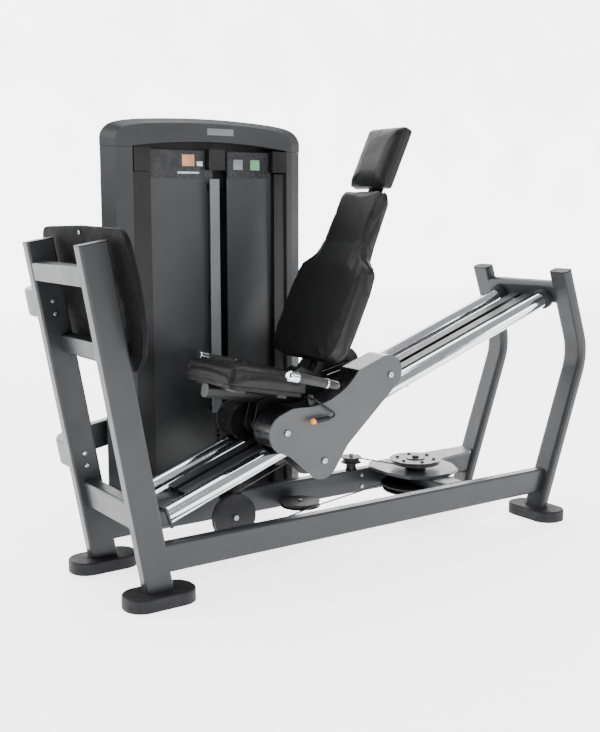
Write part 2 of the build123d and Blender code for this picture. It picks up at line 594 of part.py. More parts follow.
foot_pl = Plane(origin=(pdx, pdy, TOWER_Z0 + 3), x_dir=TDF, z_dir=(0, 0, 1))
foot_plate = extrude(foot_pl * Rectangle(88, 50), amount=4)
foot_plate = foot_plate - box(-20.2, 40, UPR_Y0 - 0.2, UPR_Y1 + 0.2, 100, 200)
add("tower_foot_pulley_bracket", foot_plate.solids().sort_by(SortBy.VOLUME)[-1], ch)

# ---------------------------------------------------------------- base pulleys
# front pulley, vertical
add("front_pulley", wheel((FP_X, 0, FP_Z), (0, 1, 0), FP_R, 26, 10.05, rim=5))
axles.append(cyl((FP_X, -20, FP_Z), (FP_X, 34, FP_Z), 10))
fpb = extrude(side(32) * make_face(Polyline((FP_X - 32, FP_Z - 24), (FP_X + 32, FP_Z - 24), (FP_X + 70, 390), (FP_X - 70, 390), close=True)), amount=12)
fpb = fpb - channel(True) - cyl((FP_X, 0, FP_Z), (FP_X, 60, FP_Z), 10)
fpb = fpb.solids().sort_by(Axis.Z)[0]
add("front_pulley_bracket", fpb)
# horizontal idler
add("idler_pulley", wheel((PA_X, PA_Y, Z_LOW), (0, 0, 1), PA_R, 20, AX_R + 0.05, rim=5))
axles.append(cyl((PA_X, PA_Y, 112), (PA_X, PA_Y, 156), AX_R))
idb = extrude(Plane(origin=(PA_X, 0, 120)) * (Pos(0, (PA_Y - 26 + RAIL_IN) / 2) * Rectangle(70, RAIL_IN - PA_Y + 26)), amount=7)
idb = idb - cyl((PA_X, PA_Y, 100), (PA_X, PA_Y, 150), AX_R)
add("idler_bracket", idb)
# drum below the plate and cam disc above it, on one vertical shaft
drum_prof = make_face(Polyline((40, 126), (138, 126), (138, 131), (DRUM_R - 3, 134), (DRUM_R - 3, 146), (146, 149), (146, 154), (15, 154),
                               (15, 112), (40, 112), close=True))
drum = Pos(DRUM_X, DRUM_Y, 0) * revolve(Plane.XZ * drum_prof, Axis.Z)
shaft = cyl((DRUM_X, DRUM_Y, 100), (DRUM_X, DRUM_Y, 272), 15)
add("cable_drum", drum)
for k in range(5):
    a = math.radians(72 * k + 20)
    bx, by = DRUM_X + 75 * math.cos(a), DRUM_Y + 75 * math.sin(a)
    add("drum_bolts", cyl((bx, by, 154), (bx, by, 155.6), 7))
add("drum_shaft", shaft)
cam_prof = make_face(Polyline((15, 238), (60, 238), (60, 242), (CAM_R - 1, 242), (CAM_R - 1, 244), (CAM_R - 3, 247), (CAM_R - 3, 253), (CAM_R + 3, 256),
                              (CAM_R + 3, 260), (40, 260), (40, 264), (15, 264), close=True))
cam = Pos(DRUM_X, DRUM_Y, 0) * revolve(Plane.XZ * cam_prof, Axis.Z)
add("cam_disc", cam)
for k in range(6):
    a = math.radians(60 * k + 10)
    add("cam_bolts", bolt((DRUM_X + 78 * math.cos(a), DRUM_Y + 78 * math.sin(a), 260), (0, 0, 1), 8, 6))
# mounting plate over the far rail and the base cross tube
mp = Polyline((410, 247), (360, 190), (352, 60), (380, -60), (460, -108), (560, -108), (640, -70), (690, 20), (700, 110), (930, 150), (965, 200), (962, 247), close=True)
mpf = make_face(mp)
mpf = fillet([v for v in mpf.vertices() if v.Y < 240], 30)
mpl = extrude(Pos(0, 0, RAIL_Z1) * mpf, amount=12)
mpl = mpl - cyl((DRUM_X, DRUM_Y, 190), (DRUM_X, DRUM_Y, 230), 16) - far_up_env
add("drum_mount_plate", mpl.solids().sort_by(SortBy.VOLUME)[-1])
add("drum_bearings", cyl((DRUM_X, DRUM_Y, RAIL_Z1 + 12), (DRUM_X, DRUM_Y, 236), 45, 15.05), cyl((DRUM_X, DRUM_Y, 156.2), (DRUM_X, DRUM_Y, 206), 16, 15.05))
# idler on the far rail
add("rail_idler_pulley", wheel((SP_X, SP_Y, Z_HIGH), (0, 0, 1), SP_R, 26, AX_R + 0.05, rim=6))
axles.append(cyl((SP_X, SP_Y, RAIL_Z1), (SP_X, SP_Y, Z_HIGH + 26), AX_R))
add("rail_idler_mount", cyl((SP_X, SP_Y, RAIL_Z1), (SP_X, SP_Y, Z_HIGH - 15), 22, AX_R) + cyl((SP_X, SP_Y, RAIL_Z1), (SP_X, SP_Y, RAIL_Z1 + 5), 24, AX_R))
add("pulley_axles", axles)

# ---------------------------------------------------------------- carriage housings


def plate_face():
    e = []
    e.append(ThreePointArc((-316, 143 + 0), (-391, 68), (-369, 15)))
    e.append(Line((-369, 15), (-329, -24)))
    e.append(Line((-329, -24), (-294, -86)))
    e.append(Line((-294, -86), (-262, -146)))
    e.append(ThreePointArc((-262, -146), (-209, -170), (-158, -152)))
    e.append(Line((-158, -152), (-82, -97)))
    e.append(Line((-82, -97), (222, 25)))
    e.append(ThreePointArc((222, 25), (257, 84), (190, 151)))
    e.append(Line((190, 151), (62, 151)))
    e.append(ThreePointArc((62, 151), (-80, 101), (-222, 129)))
    e.append(Line((-222, 129), (-262, 143)))
    e.append(Line((-262, 143), (-316, 143)))
    f = make_face(e)

    def near(v, u, w, tol=3):
        return abs(v.X - u) < tol and abs(v.Y - w) < tol
    for (u, w, r) in ((-329, -24, 40), (-82, -97, 30), (62, 151, 18), (-222, 129, 30), (-262, 143, 30)):
        vs = [v for v in f.vertices() if near(v, u, w)]
        if vs:
            try:
                f = fillet(vs, r)
            except Exception:
                print("no fillet at", u, w)
    return f


pf = plate_face()
holes = [Pos(ROLL_U1, ROLL_V) * Circle(12), Pos(ROLL_U2, ROLL_V) * Circle(12), Pos(LOW_U, LOW_V) * Circle(12)]


def housing(sign, nm):
    """Two side plates and the wrap cover of one housing."""
    for lab, ya in (("outer", HOUS_OUT), ("inner", HOUS_IN + PLATE_T)):
        y_start = ya if sign > 0 else -(ya - PLATE_T)
        p = extrude(incl(y_start) * pf, amount=PLATE_T)
        for u, v, r in ((ROLL_U1, ROLL_V, 10), (ROLL_U2, ROLL_V, 10), (LOW_U, LOW_V, 10)):
            p = p - cyl(P(u, v, sign * 60), P(u, v, sign * 220), r)
        if lab == "inner":
            p = p - cyl(P(LROLL_U, -GUIDE_R - LROLL_R - 0.3, sign * 60), P(LROLL_U, -GUIDE_R - LROLL_R - 0.3, sign * 220), 8)
        add("housing_%s_%s_plate" % (nm, lab), p)
    inner = offset(pf, -3, kind=Kind.INTERSECTION)
    band = pf - inner
    band = band & (Pos(-60, 46 + 100) * Rectangle(700, 200))
    y_start = (HOUS_OUT - PLATE_T) if sign > 0 else -(HOUS_IN + PLATE_T)
    w = extrude(incl(y_start) * band, amount=HOUS_OUT - HOUS_IN - 2 * PLATE_T)
    add("housing_%s_wrap" % nm, w)


housing(-1, "near")
housing(1, "far")

# rollers: hollowed to the round of the guide tube


def roller(u, v, rc, y, w=44.0, bore=10.05):
    """rc is the distance from the roller's axis to the top of the guide tube."""
    c = P(u, v, y)
    n = 9
    pts = []
    for i in range(n + 1):
        yy = -w / 2 + w * i / n
        gap = GUIDE_R + 0.25
        rr = (rc + GUIDE_R) - math.sqrt(gap * gap - yy * yy)
        pts.append((rr, yy))
    prof = Polyline((bore, -w / 2), pts[0])
    curve = Spline(*pts)
    prof = make_face([Line((bore, -w / 2), pts[0]), curve, Line(pts[-1], (bore, w / 2)), Line((bore, w / 2), (bore, -w / 2))])
    g = revolve(Plane.XZ * prof, Axis.Z)
    pl = Plane(origin=c, z_dir=(0, 1, 0))
    return pl.location * g


for nm, s in (("near", -1), ("far", 1)):
    add("roller_front_" + nm, roller(ROLL_U1, ROLL_V, ROLL_V - GUIDE_R, s * GUIDE_Y))
    add("roller_rear_" + nm, roller(ROLL_U2, ROLL_V, ROLL_V - GUIDE_R, s * GUIDE_Y))
    add("roller_lower_" + nm, roller(LROLL_U, -GUIDE_R - LROLL_R - 0.3, LROLL_R + 0.3, s * GUIDE_Y, w=36, bore=8.05))

pins, heads = [], []
for s in (-1, 1):
    for u, v in ((ROLL_U1, ROLL_V), (ROLL_U2, ROLL_V)):
        pins.append(cyl(P(u, v, s * HOUS_IN), P(u, v, s * HOUS_OUT), 10))
        for ya, yb in ((HOUS_IN + PLATE_T, GUIDE_Y - 22.3), (GUIDE_Y + 22.3, HOUS_OUT - PLATE_T)):
            pins.append(cyl(P(u, v, s * ya), P(u, v, s * yb), 16, 10))
        heads.append(bolt(P(u, v, s * HOUS_OUT), (0, s, 0), 12, 8))
    pins.append(cyl(P(LOW_U, LOW_V, s * HOUS_IN), P(LOW_U, LOW_V, s * HOUS_OUT), 10))
    pins.append(cyl(P(LOW_U, LOW_V, s * (HOUS_IN + PLATE_T)), P(LOW_U, LOW_V, s * (HOUS_OUT - PLATE_T)), 20, 10))
    heads.append(bolt(P(LOW_U, LOW_V, s * HOUS_OUT), (0, s, 0), 12, 8))
    pins.append(cyl(P(LROLL_U, -GUIDE_R - LROLL_R - 0.3, s * HOUS_IN), P(LROLL_U, -GUIDE_R - LROLL_R - 0.3, s * (HOUS_OUT - PLATE_T)), 8))
add("carriage_axles", pins)
add("carriage_bolts", heads)

# cross tubes between the housings
ct = []
for u, v in ((ROLL_U1, ROLL_V), (ROLL_U2, ROLL_V), (LOW_U, LOW_V)):
    ct.append(cyl(P(u, v, -HOUS_IN), P(u, v, HOUS_IN), 25, 21))
add("carriage_cross_tubes", ct)

# ---------------------------------------------------------------- seat and back frame
B0 = Vector(-56, 0, 805)                         # a point of the back plane of the back cushion
bt = math.radians(BACK_TILT)
tdir = Vector(math.sin(bt), 0, math.cos(bt))
ndir = Vector(-math.cos(bt), 0, math.sin(bt))


def Q(q, p, y=0.0):
    """Point along the backrest (q up, p forward of its back plane)."""
    return B0 + tdir * q + ndir * p + Vector(0, y, 0)


sd = Vector(math.cos(math.radians(SEAT_TILT)), 0, -math.sin(math.radians(SEAT_TILT)))
sn = Vector(math.sin(math.radians(SEAT_TILT)), 0, math.cos(math.radians(SEAT_TILT)))
S0 = Vector(-548, 0, 705)                        # front lower edge of the seat cushion
seat_line = S0 - sn * 39.3
bp = Q(0, -41.5)
det = sd.X * -tdir.Z + sd.Z * tdir.X
la = ((bp.X - seat_line.X) * -tdir.Z + (bp.Z - seat_line.Z) * tdir.X) / det
corner = seat_line + sd * la
beam_path = FilletPolyline(seat_line + sd * 6, corner, Q(340, -41.5), radius=95)
seat_tube = swept(beam_path, (0, 1, 0), 50, 50, 18, 3)
seat_tube_env = swept(beam_path, (0, 1, 0), 50, 50, 18)
add("seat_back_tube", seat_tube)
bc = []
for pth, s in ((beam_path, 0), (beam_path, 1)):
    o, d = pth @ s, (pth % s) * (-1 if s == 0 else 1)
    c = bar(o, o + d * 3, (0, 1, 0), 50, 50, 18)
    bc.append(c)
add("seat_tube_caps", bc)

# spine plates tying the cross tubes to the bent tube
sp_pts = [(-352, 60), (-316, 36), (196, 36), (232, 60), (232, 92), (150, 112), (20, 128), (-50, 176), (-84, 210), (-132, 206), (-146, 178), (-160, 140), (-230, 140), (-270, 168),
          (-302, 168), (-352, 96)]
spf = make_face(Polyline(*sp_pts, close=True))
spf = fillet(spf.vertices(), 9)
spines = []
for y0 in (33.2, -25.2):
    s = extrude(incl(y0) * spf, amount=8)
    for u, v in ((ROLL_U1, ROLL_V), (ROLL_U2, ROLL_V)):
        s = s - cyl(P(u, v, -100), P(u, v, 100), 25)
    s = s - cyl((ARM_X, -100, ARM_Z), (ARM_X, 100, ARM_Z), 20)
    spines.append(s)
add("spine_plates", spines)

seat_pl = Plane(origin=S0 + sd * (SEAT_L / 2), x_dir=sd, z_dir=sn)
cush = extrude(seat_pl * RectangleRounded(SEAT_L, SEAT_W, 34), amount=SEAT_T)
cush = fillet(cush.edges().sort_by(lambda e: (e.center() - S0).dot(sn))[-8:], 12)
add("seat_cushion", cush)
board_s = extrude(Plane(origin=seat_pl.origin - sn * 14.3, x_dir=sd, z_dir=sn) * RectangleRounded(SEAT_L - 24, SEAT_W - 30, 24), amount=14)
board_s = board_s - seat_tube_env
add("seat_board", board_s.solids().sort_by(SortBy.VOLUME)[-1])
ears = []
for q in (60, 240):
    o = S0 + sd * q - sn * 14.3
    e = bar(Vector(o.X, -150, o.Z) - sn * 6, Vector(o.X, 150, o.Z) - sn * 6, tuple(sd), 40, 11.8, 2)
    ears.append((e - seat_tube_env))
add("seat_crossbars", ears)

# back cushion, board and headrest


def back_plane(p):
    pl = Plane(origin=Q(0, p), x_dir=(0, 1, 0), z_dir=ndir)
    if (pl.y_dir - tdir).length > 0.1:
        pl = Plane(origin=Q(0, p), x_dir=(0, -1, 0), z_dir=ndir)
    return pl


BQ0, BQ1 = -78.0, 626.0


def back_outline(g=0.0):
    half = [(212 - g, BQ0 + g), (219 - g, 60), (219 - g, 215), (207 - g, 302 - g * 0.5), (148 - g, 352 - g * 0.5),
            (139 - g, 410), (127 - g, BQ1 - g)]
    pts = half + [(-x, q) for x, q in reversed(half)]
    f = make_face(Polyline(*pts, close=True))
    for (x, q), r in zip(half, (62, 200, 120, 42, 34, 120, 38)):
        vs = [v for v in f.vertices() if abs(abs(v.X) - x) < 0.5 and abs(v.Y - q) < 0.5]
        f = fillet(vs, r)
    return f


body = extrude(back_plane(0) * back_outline(), amount=66)
# the upper half is thinner than the lower
cutp = Plane(origin=Q(0, 0, 300), x_dir=tuple(tdir), z_dir=(0, -1, 0))
sg = 1 if (cutp.y_dir - ndir).length < 0.1 else -1
cutter = extrude(cutp * make_face(Polyline((300, sg * 66.5), (400, sg * 52), (720, sg * 52), (720, sg * 90), (300, sg * 90), close=True)), amount=600)
body = body - cutter
add("back_cushion", body.solids().sort_by(SortBy.VOLUME)[-1])
bb = extrude(back_plane(-12.3) * back_outline(14.0), amount=12)
add("back_board", bb)
hq0, hq1 = 642.0, 900.0
hp = back_plane(-2)
hr = Plane(origin=Q((hq0 + hq1) / 2, -4), x_dir=hp.x_dir, z_dir=hp.z_dir)
hc = extrude(hr * RectangleRounded(230, hq1 - hq0, 12), amount=38)
hc = hc + loft([Plane(origin=Q((hq0 + hq1) / 2, 34), x_dir=hp.x_dir, z_dir=hp.z_dir) * RectangleRounded(230, hq1 - hq0, 12),
                Plane(origin=Q((hq0 + hq1) / 2, 58), x_dir=hp.x_dir, z_dir=hp.z_dir) * RectangleRounded(182, hq1 - hq0 - 48, 12)])
add("headrest_cushion", hc)
hb = extrude(Plane(origin=Q(690, -16.4), x_dir=hp.x_dir, z_dir=hp.z_dir) * RectangleRounded(90, 330, 12), amount=4)
hb2 = extrude(Plane(origin=Q(770, -12.4), x_dir=hp.x_dir, z_dir=hp.z_dir) * RectangleRounded(150, 160, 12), amount=8)
add("headrest_bracket", hb, hb2)

# brackets between the bent tube and the back board
bk = []
for q in (20, 250):
    o = Q(q, -14.0)
    bk.append(bar(Vector(o.X, -110, o.Z) - ndir * 0.4, Vector(o.X, 110, o.Z) - ndir * 0.4, tuple(tdir), 44, 4.2, 1))
add("back_crossbars", bk)

# ---------------------------------------------------------------- handles
arms, grips, ends = [], [], []
hdir = Vector(-401 + 185, 0, 744 - 689).normalized()
for s in (-1, 1):
    path = FilletPolyline((ARM_X, s * 33.4, ARM_Z), (ARM_X, s * HANDLE_Y, ARM_Z), Vector(ARM_X, s * HANDLE_Y, ARM_Z) + hdir * 60, radius=34)
    arms.append(round_swept(path, 15, 2.5))
    a = Vector(ARM_X, s * HANDLE_Y, ARM_Z)
    ends.append(cyl(a + hdir * 60, a + hdir * 222, 12.5))
    ends.append(cyl(a + hdir * 60, a + hdir * 66, 19, 12.5))
    knob = cyl(a + hdir * 222, a + hdir * 232, 20)
    k2 = cyl(a + hdir * 192, a + hdir * 222, 20, 12.5)
    ends.append(fillet((knob + k2).edges().filter_by(GeomType.CIRCLE).sort_by(lambda e: (e.center() - a).dot(hdir))[-1], 8))
    grips.append(cyl(a + hdir * 66.3, a + hdir * 191.7, 17, 12.5))
add("handle_arms", arms)
add("handle_tubes", ends)
add("handle_grips", grips)
bosses = [cyl((ARM_X, -33.4, ARM_Z), (ARM_X, 33.4, ARM_Z), 20, 0)]
add("handle_boss", bosses)

# ---------------------------------------------------------------- start position lever
LV = P(-171, 140, -150)
lev_path = FilletPolyline(LV, P(-171, 140, -207), P(-96, 38, -207), P(-96 - 44, 38 + 12, -211), radius=9)
lever = round_swept(lev_path, 4.0)
LG = P(-140, 50, -211)
gd = (P(-219, 74, -216) - P(-140, 50, -211)).normalized()
add("start_lever", lever)
add("lever_grip", cyl(LG, LG + gd * 68, 9.5) - lever)
capg = cyl(LG + gd * 68, LG + gd * 82, 10.5)
capg = fillet(capg.edges().filter_by(GeomType.CIRCLE).sort_by(lambda e: (e.center() - LG).dot(gd))[-1], 5)
add("lever_end_cap", capg)
lb = []
for y0 in (-160.0, -178.0):
    b = extrude(incl(y0 + 5) * (Pos(-171, 133) * Rectangle(26, 34)), amount=6) - cyl(P(-171, 140, -250), P(-171, 140, -100), 4.08)
    lb.append(b)
wrap_env = extrude(incl(-HOUS_IN) * pf, amount=HOUS_OUT - HOUS_IN)
add("lever_bushes", [x - wrap_env for x in lb])

# ---------------------------------------------------------------- cables
fu = (FP_X) * CA + (FP_Z - Z_AX) * SA
fv = -(FP_X) * SA + (FP_Z - Z_AX) * CA
V_CAB = fv + FP_R                                # line of the cable under the channel
anchor = P(LOW_U + 6, V_CAB, 0)
print("cable line v", V_CAB)
t_top = P(fu, V_CAB, 0)                          # tangent point on the front pulley
run1 = cyl(t_top, anchor, CABLE_R)
add("cable_anchor", cyl(P(LOW_U - 16, V_CAB, 0), P(LOW_U + 22, V_CAB, 0), 11, CABLE_R) - cyl(P(LOW_U, LOW_V, -60), P(LOW_U, LOW_V, 60), 25))
add("carriage_cable", cyl(t_top, P(LOW_U - 16.5, V_CAB, 0), CABLE_R))
# around the front pulley and back along the floor to the idler
c = Vector(FP_X, 0, FP_Z)
a0 = t_top
am = c + Vector(-FP_R, 0, 0)
# leaves the pulley at its foot, rising slightly to the idler
be = math.atan2(Z_LOW - FP_Z + FP_R, PA_X - FP_X)
for _ in range(20):
    bot = c + Vector(math.sin(be), 0, -math.cos(be)) * FP_R
    be = math.atan2(Z_LOW - bot.Z, math.hypot(PA_X - bot.X, PA_Y - PA_R))
arc1 = ThreePointArc(a0, c + Vector(-FP_R * math.cos(math.radians(25)), 0, -FP_R * math.sin(math.radians(25))), bot)
wrap1 = sweep(Plane(origin=arc1 @ 0, z_dir=arc1 % 0) * Circle(CABLE_R - 0.05), path=arc1)


def tangents(c1, r1, s1, c2, r2, s2):
    """Straight run touching two circles in plan. s = +1: circle centre to the left of the run."""
    dx, dy = c2[0] - c1[0], c2[1] - c1[1]
    d = math.hypot(dx, dy)
    base = math.atan2(dy, dx)
    phi = base + math.asin((s2 * r2 - s1 * r1) / d * -1)
    n = (-math.sin(phi), math.cos(phi))
    return ((c1[0] - s1 * r1 * n[0], c1[1] - s1 * r1 * n[1]), (c2[0] - s2 * r2 * n[0], c2[1] - s2 * r2 * n[1]), phi)


p1, p2, ph = tangents((bot.X, 0.0), 0.0, 1, (PA_X, PA_Y), PA_R, 1)
q1, q2, ph2 = tangents((PA_X, PA_Y), PA_R, 1, (DRUM_X, DRUM_Y), DRUM_R, -1)
print("idler in", p2, "out", q1, "drum", q2)
low1 = cyl(bot, (p2[0], p2[1], Z_LOW), CABLE_R - 0.05)


def plan_arc(c, r, pa, pb, z, ccw, extra=0.0):
    a = math.atan2(pa[1] - c[1], pa[0] - c[0])
    b = math.atan2(pb[1] - c[1], pb[0] - c[0])
    if ccw:
        while b < a:
            b += 2 * math.pi
        b += extra
    else:
        while b > a:
            b -= 2 * math.pi
        b -= extra
    m = (a + b) / 2
    arc = ThreePointArc((pa[0], pa[1], z), (c[0] + r * math.cos(m), c[1] + r * math.sin(m), z), (c[0] + r * math.cos(b), c[1] + r * math.sin(b), z))
    return sweep(Plane(origin=arc @ 0, z_dir=arc % 0) * Circle(CABLE_R - 0.05), path=arc)


wrap2 = plan_arc((PA_X, PA_Y), PA_R, p2, q1, Z_LOW, True)
low2 = cyl((q1[0], q1[1], Z_LOW), (q2[0], q2[1], Z_LOW), CABLE_R - 0.05)
wrap3 = plan_arc((DRUM_X, DRUM_Y), DRUM_R, q2, (DRUM_X + DRUM_R, DRUM_Y), Z_LOW, False, math.radians(190))
add("base_cable", wrap1, low1, wrap2, low2)
add("drum_cable", wrap3)
# upper cable: cam, rail idler, tower
k1, k2, ph3 = tangents((SP_X, SP_Y), SP_R, -1, (DRUM_X, DRUM_Y), CAM_R, 1)
print("rail idler out", k1, "cam", k2)
add("cam_cable", plan_arc((DRUM_X, DRUM_Y), CAM_R, k2, (DRUM_X, DRUM_Y - CAM_R), Z_HIGH, True, math.radians(20)))
hi1 = cyl((k1[0], k1[1], Z_HIGH), (k2[0], k2[1], Z_HIGH), CABLE_R - 0.05)
tp = (SP_X + SP_R * math.sin(th), SP_Y + SP_R * math.cos(th))
wrap4 = plan_arc((SP_X, SP_Y), SP_R, tp, k1, Z_HIGH, False)
bd = Vector(pdx, pdy, Z_HIGH)
hi2 = cyl((tp[0], tp[1], Z_HIGH), bd, CABLE_R - 0.05)
cD = Vector(*TD)
m = math.radians(45)
arcD = ThreePointArc(bd, cD - TDF * (TP_R * math.cos(m)) - Vector(0, 0, TP_R * math.sin(m)), cD - TDF * TP_R)
wrapD = sweep(Plane(origin=arcD @ 0, z_dir=arcD % 0) * Circle(CABLE_R - 0.05), path=arcD)
upx = cD - TDF * TP_R
rise = cyl((upx.X, upx.Y, TD[2]), (upx.X, upx.Y, TOP_Z), CABLE_R - 0.05)
arcE = ThreePointArc((UP_RUN_X, STACK_Y, TOP_Z), (E1[0], STACK_Y, TOP_Z + TOP_R), (STACK_X, STACK_Y, TOP_Z))
wrapE = sweep(Plane(origin=arcE @ 0, z_dir=arcE % 0) * Circle(CABLE_R - 0.05), path=arcE)
add("tower_cable", hi1, wrap4, hi2, wrapD, rise, wrapE)
add("stack_cable", cyl((STACK_X, STACK_Y, z_head + 60.0), (STACK_X, STACK_Y, TOP_Z), CABLE_R - 0.05))
slot = cyl(bd, (tp[0], tp[1], Z_HIGH), 10)
for nm in ("tower_column_right", "side_post_right", "screen_right"):
    nodes[nm] = [x - slot for x in nodes[nm]]

# ---------------------------------------------------------------- frame bolts
fb = []
for z in (400, 446, 955, 1000):
    fb.append(bolt((post_edge(z) + pw / 2, RAIL_IN, z), (0, -1, 0), 8, 6))
for x, z in ((330, 181), (330, 131), (420, 190)):
    fb.append(bolt((x, RAIL_IN, z), (0, -1, 0), 8, 6))
for y in (0,):
    fb.append(bolt(tuple(fp_plane.origin + fp_plane.y_dir * 222 + fp_plane.x_dir * y), tuple(fp_plane.z_dir * -1), 7, 5))
for s in (-1, 1):
    fb.append(bolt(tuple(P(300, -GUIDE_R + 1.5, s * GUIDE_Y)), tuple(vdir * -1), 7, 9) - guide(s * GUIDE_Y, GUIDE_R))
add("frame_bolts", fb)

# ---------------------------------------------------------------- nodes
# pieces that never move against each other and are alike share one file
GROUPS = {
    "front_posts": ["front_post_near", "front_post_far"],
    "base_rails": ["base_rail_near", "base_rail_far"],
    "rear_uprights": ["rear_upright_near", "rear_upright_far"],
    "frame_cross_tubes": ["front_cross_tube", "rear_cross_tube", "base_cross_tube"],
    "guide_rail_links": ["front_link_tubes", "rail_saddle_plates"],
    "guide_tubes": ["guide_tube_near", "guide_tube_far"],
    "rubber_bumpers": ["rail_end_bumpers", "stack_bumpers"],
    "footplate_supports": ["footplate_cross_tubes", "footplate_spacers"],
    "tower_braces": ["lower_brace", "upper_brace"],
    "tower_inner_frame": ["tower_base_frame", "tower_upright_left", "tower_upright_right", "tower_top_beam",
                          "stack_rod_top_plate", "stack_guide_feet"],
    "tower_columns": ["tower_column_left", "tower_column_right"],
    "tower_back_shell": ["tower_back_shell", "tower_lid", "tower_floor_pan"],
    "tower_side_posts": ["side_post_left", "side_post_right", "strip_spacers", "crown_blocks"],
    "tower_screens": ["screen_left", "screen_right"],
    "tower_placards": ["placard_left", "placard_right"],
    "pulley_brackets": ["top_pulley_bracket", "tower_foot_pulley_bracket", "front_pulley_bracket", "idler_bracket",
                        "rail_idler_mount"],
    "bolts_and_axles": ["pulley_axles", "frame_bolts"],
    "drum_mount_plate": ["drum_mount_plate", "drum_bearings"],
    "lift_cable": ["base_cable", "drum_cable", "cam_cable", "tower_cable"],
    "weight_plates_lifted": ["weight_plates_lifted", "stack_head_plate"],
    "housing_outer_plates": ["housing_near_outer_plate", "housing_far_outer_plate"],
    "housing_inner_plates": ["housing_near_inner_plate", "housing_far_inner_plate"],
    "housing_wraps": ["housing_near_wrap", "housing_far_wrap"],
    "carriage_axles": ["carriage_axles", "carriage_bolts"],
    "carriage_frame": ["carriage_cross_tubes", "spine_plates", "lever_bushes"],
    "seat_back_tube": ["seat_back_tube", "seat_tube_caps"],
    "pad_brackets": ["seat_crossbars", "back_crossbars", "headrest_bracket"],
    "pad_boards": ["seat_board", "back_board"],
    "handle_arms": ["handle_arms", "handle_boss"],
    "carriage_cable": ["carriage_cable", "cable_anchor"],
    "rollers_front": ["roller_front_near", "roller_front_far"],
    "rollers_rear": ["roller_rear_near", "roller_rear_far"],
    "rollers_lower": ["roller_lower_near", "roller_lower_far"],
    "start_lever": ["start_lever", "lever_grip"],
    "cable_drum": ["cable_drum", "drum_bolts", "drum_shaft"],
    "cam_disc": ["cam_disc", "cam_bolts"],
}
merged = {}
used = set()
for g, members in GROUPS.items():
    out = []
    for mname in members:
        out += nodes[mname]
        used.add(mname)
    merged[g] = out
for name in nodes:
    if name not in used:
        merged[name] = nodes[name]
nodes = merged

# ---------------------------------------------------------------- export
off = Location(OFFSET)
tot = 0
for name, sol in nodes.items():
    sol = [q for s in sol for q in s.solids() if q.volume > 1.0]
    comp = Compound(children=[off * s for s in sol]) if len(sol) > 1 else off * sol[0]
    export_step(comp, "parts/%s.step" % name)
    tot += 1
print("nodes", tot)
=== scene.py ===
import math
import json

import bpy
import bmesh
from mathutils import Vector, Matrix

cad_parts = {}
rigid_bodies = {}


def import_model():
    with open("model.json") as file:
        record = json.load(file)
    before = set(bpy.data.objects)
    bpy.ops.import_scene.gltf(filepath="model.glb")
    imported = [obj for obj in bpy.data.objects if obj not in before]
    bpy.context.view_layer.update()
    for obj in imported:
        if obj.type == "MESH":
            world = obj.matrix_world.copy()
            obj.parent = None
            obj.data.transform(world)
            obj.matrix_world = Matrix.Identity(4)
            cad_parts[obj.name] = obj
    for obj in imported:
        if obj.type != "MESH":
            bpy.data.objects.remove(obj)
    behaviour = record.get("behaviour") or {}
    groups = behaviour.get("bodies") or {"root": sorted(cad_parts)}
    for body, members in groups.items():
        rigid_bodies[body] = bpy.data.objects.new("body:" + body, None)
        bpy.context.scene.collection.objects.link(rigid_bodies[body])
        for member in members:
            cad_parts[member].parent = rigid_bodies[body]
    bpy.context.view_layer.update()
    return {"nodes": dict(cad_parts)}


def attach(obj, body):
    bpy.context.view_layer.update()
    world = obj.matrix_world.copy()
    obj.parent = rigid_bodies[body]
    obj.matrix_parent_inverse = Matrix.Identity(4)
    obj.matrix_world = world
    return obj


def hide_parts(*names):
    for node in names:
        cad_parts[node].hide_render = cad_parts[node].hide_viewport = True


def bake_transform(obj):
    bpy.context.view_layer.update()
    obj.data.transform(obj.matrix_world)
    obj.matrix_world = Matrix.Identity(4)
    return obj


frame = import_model()
nodes = frame["nodes"]

OFF = Vector((-0.034315, -0.1325, 0.0))


def D(x, y, z):
    """Point of the drawing frame, given in millimetres."""
    return Vector((x / 1000.0, y / 1000.0, z / 1000.0)) + OFF


# ------------------------------------------------------------------ materials
def new_mat(name):
    m = bpy.data.materials.new(name)
    m.use_nodes = True
    nt = m.node_tree
    nt.nodes.clear()
    out = nt.nodes.new("ShaderNodeOutputMaterial")
    b = nt.nodes.new("ShaderNodeBsdfPrincipled")
    nt.links.new(b.outputs["BSDF"], out.inputs["Surface"])
    return m, nt, b


def ramp(nt, src, c0, c1, p0=0.35, p1=0.65):
    r = nt.nodes.new("ShaderNodeValToRGB")
    r.color_ramp.elements[0].position = p0
    r.color_ramp.elements[1].position = p1
    r.color_ramp.elements[0].color = (*c0, 1.0)
    r.color_ramp.elements[1].color = (*c1, 1.0)
    nt.links.new(src, r.inputs["Fac"])
    return r.outputs["Color"]


def rng(nt, src, a, b, f0=0.3, f1=0.7):
    r = nt.nodes.new("ShaderNodeMapRange")
    r.inputs["From Min"].default_value = f0
    r.inputs["From Max"].default_value = f1
    r.inputs["To Min"].default_value = a
    r.inputs["To Max"].default_value = b
    nt.links.new(src, r.inputs["Value"])
    return r.outputs["Result"]


def coords(nt, scale=(1, 1, 1), rot=(0, 0, 0)):
    tc = nt.nodes.new("ShaderNodeTexCoord")
    mp = nt.nodes.new("ShaderNodeMapping")
    mp.inputs["Scale"].default_value = scale
    mp.inputs["Rotation"].default_value = rot
    nt.links.new(tc.outputs["Object"], mp.inputs["Vector"])
    return mp.outputs["Vector"]


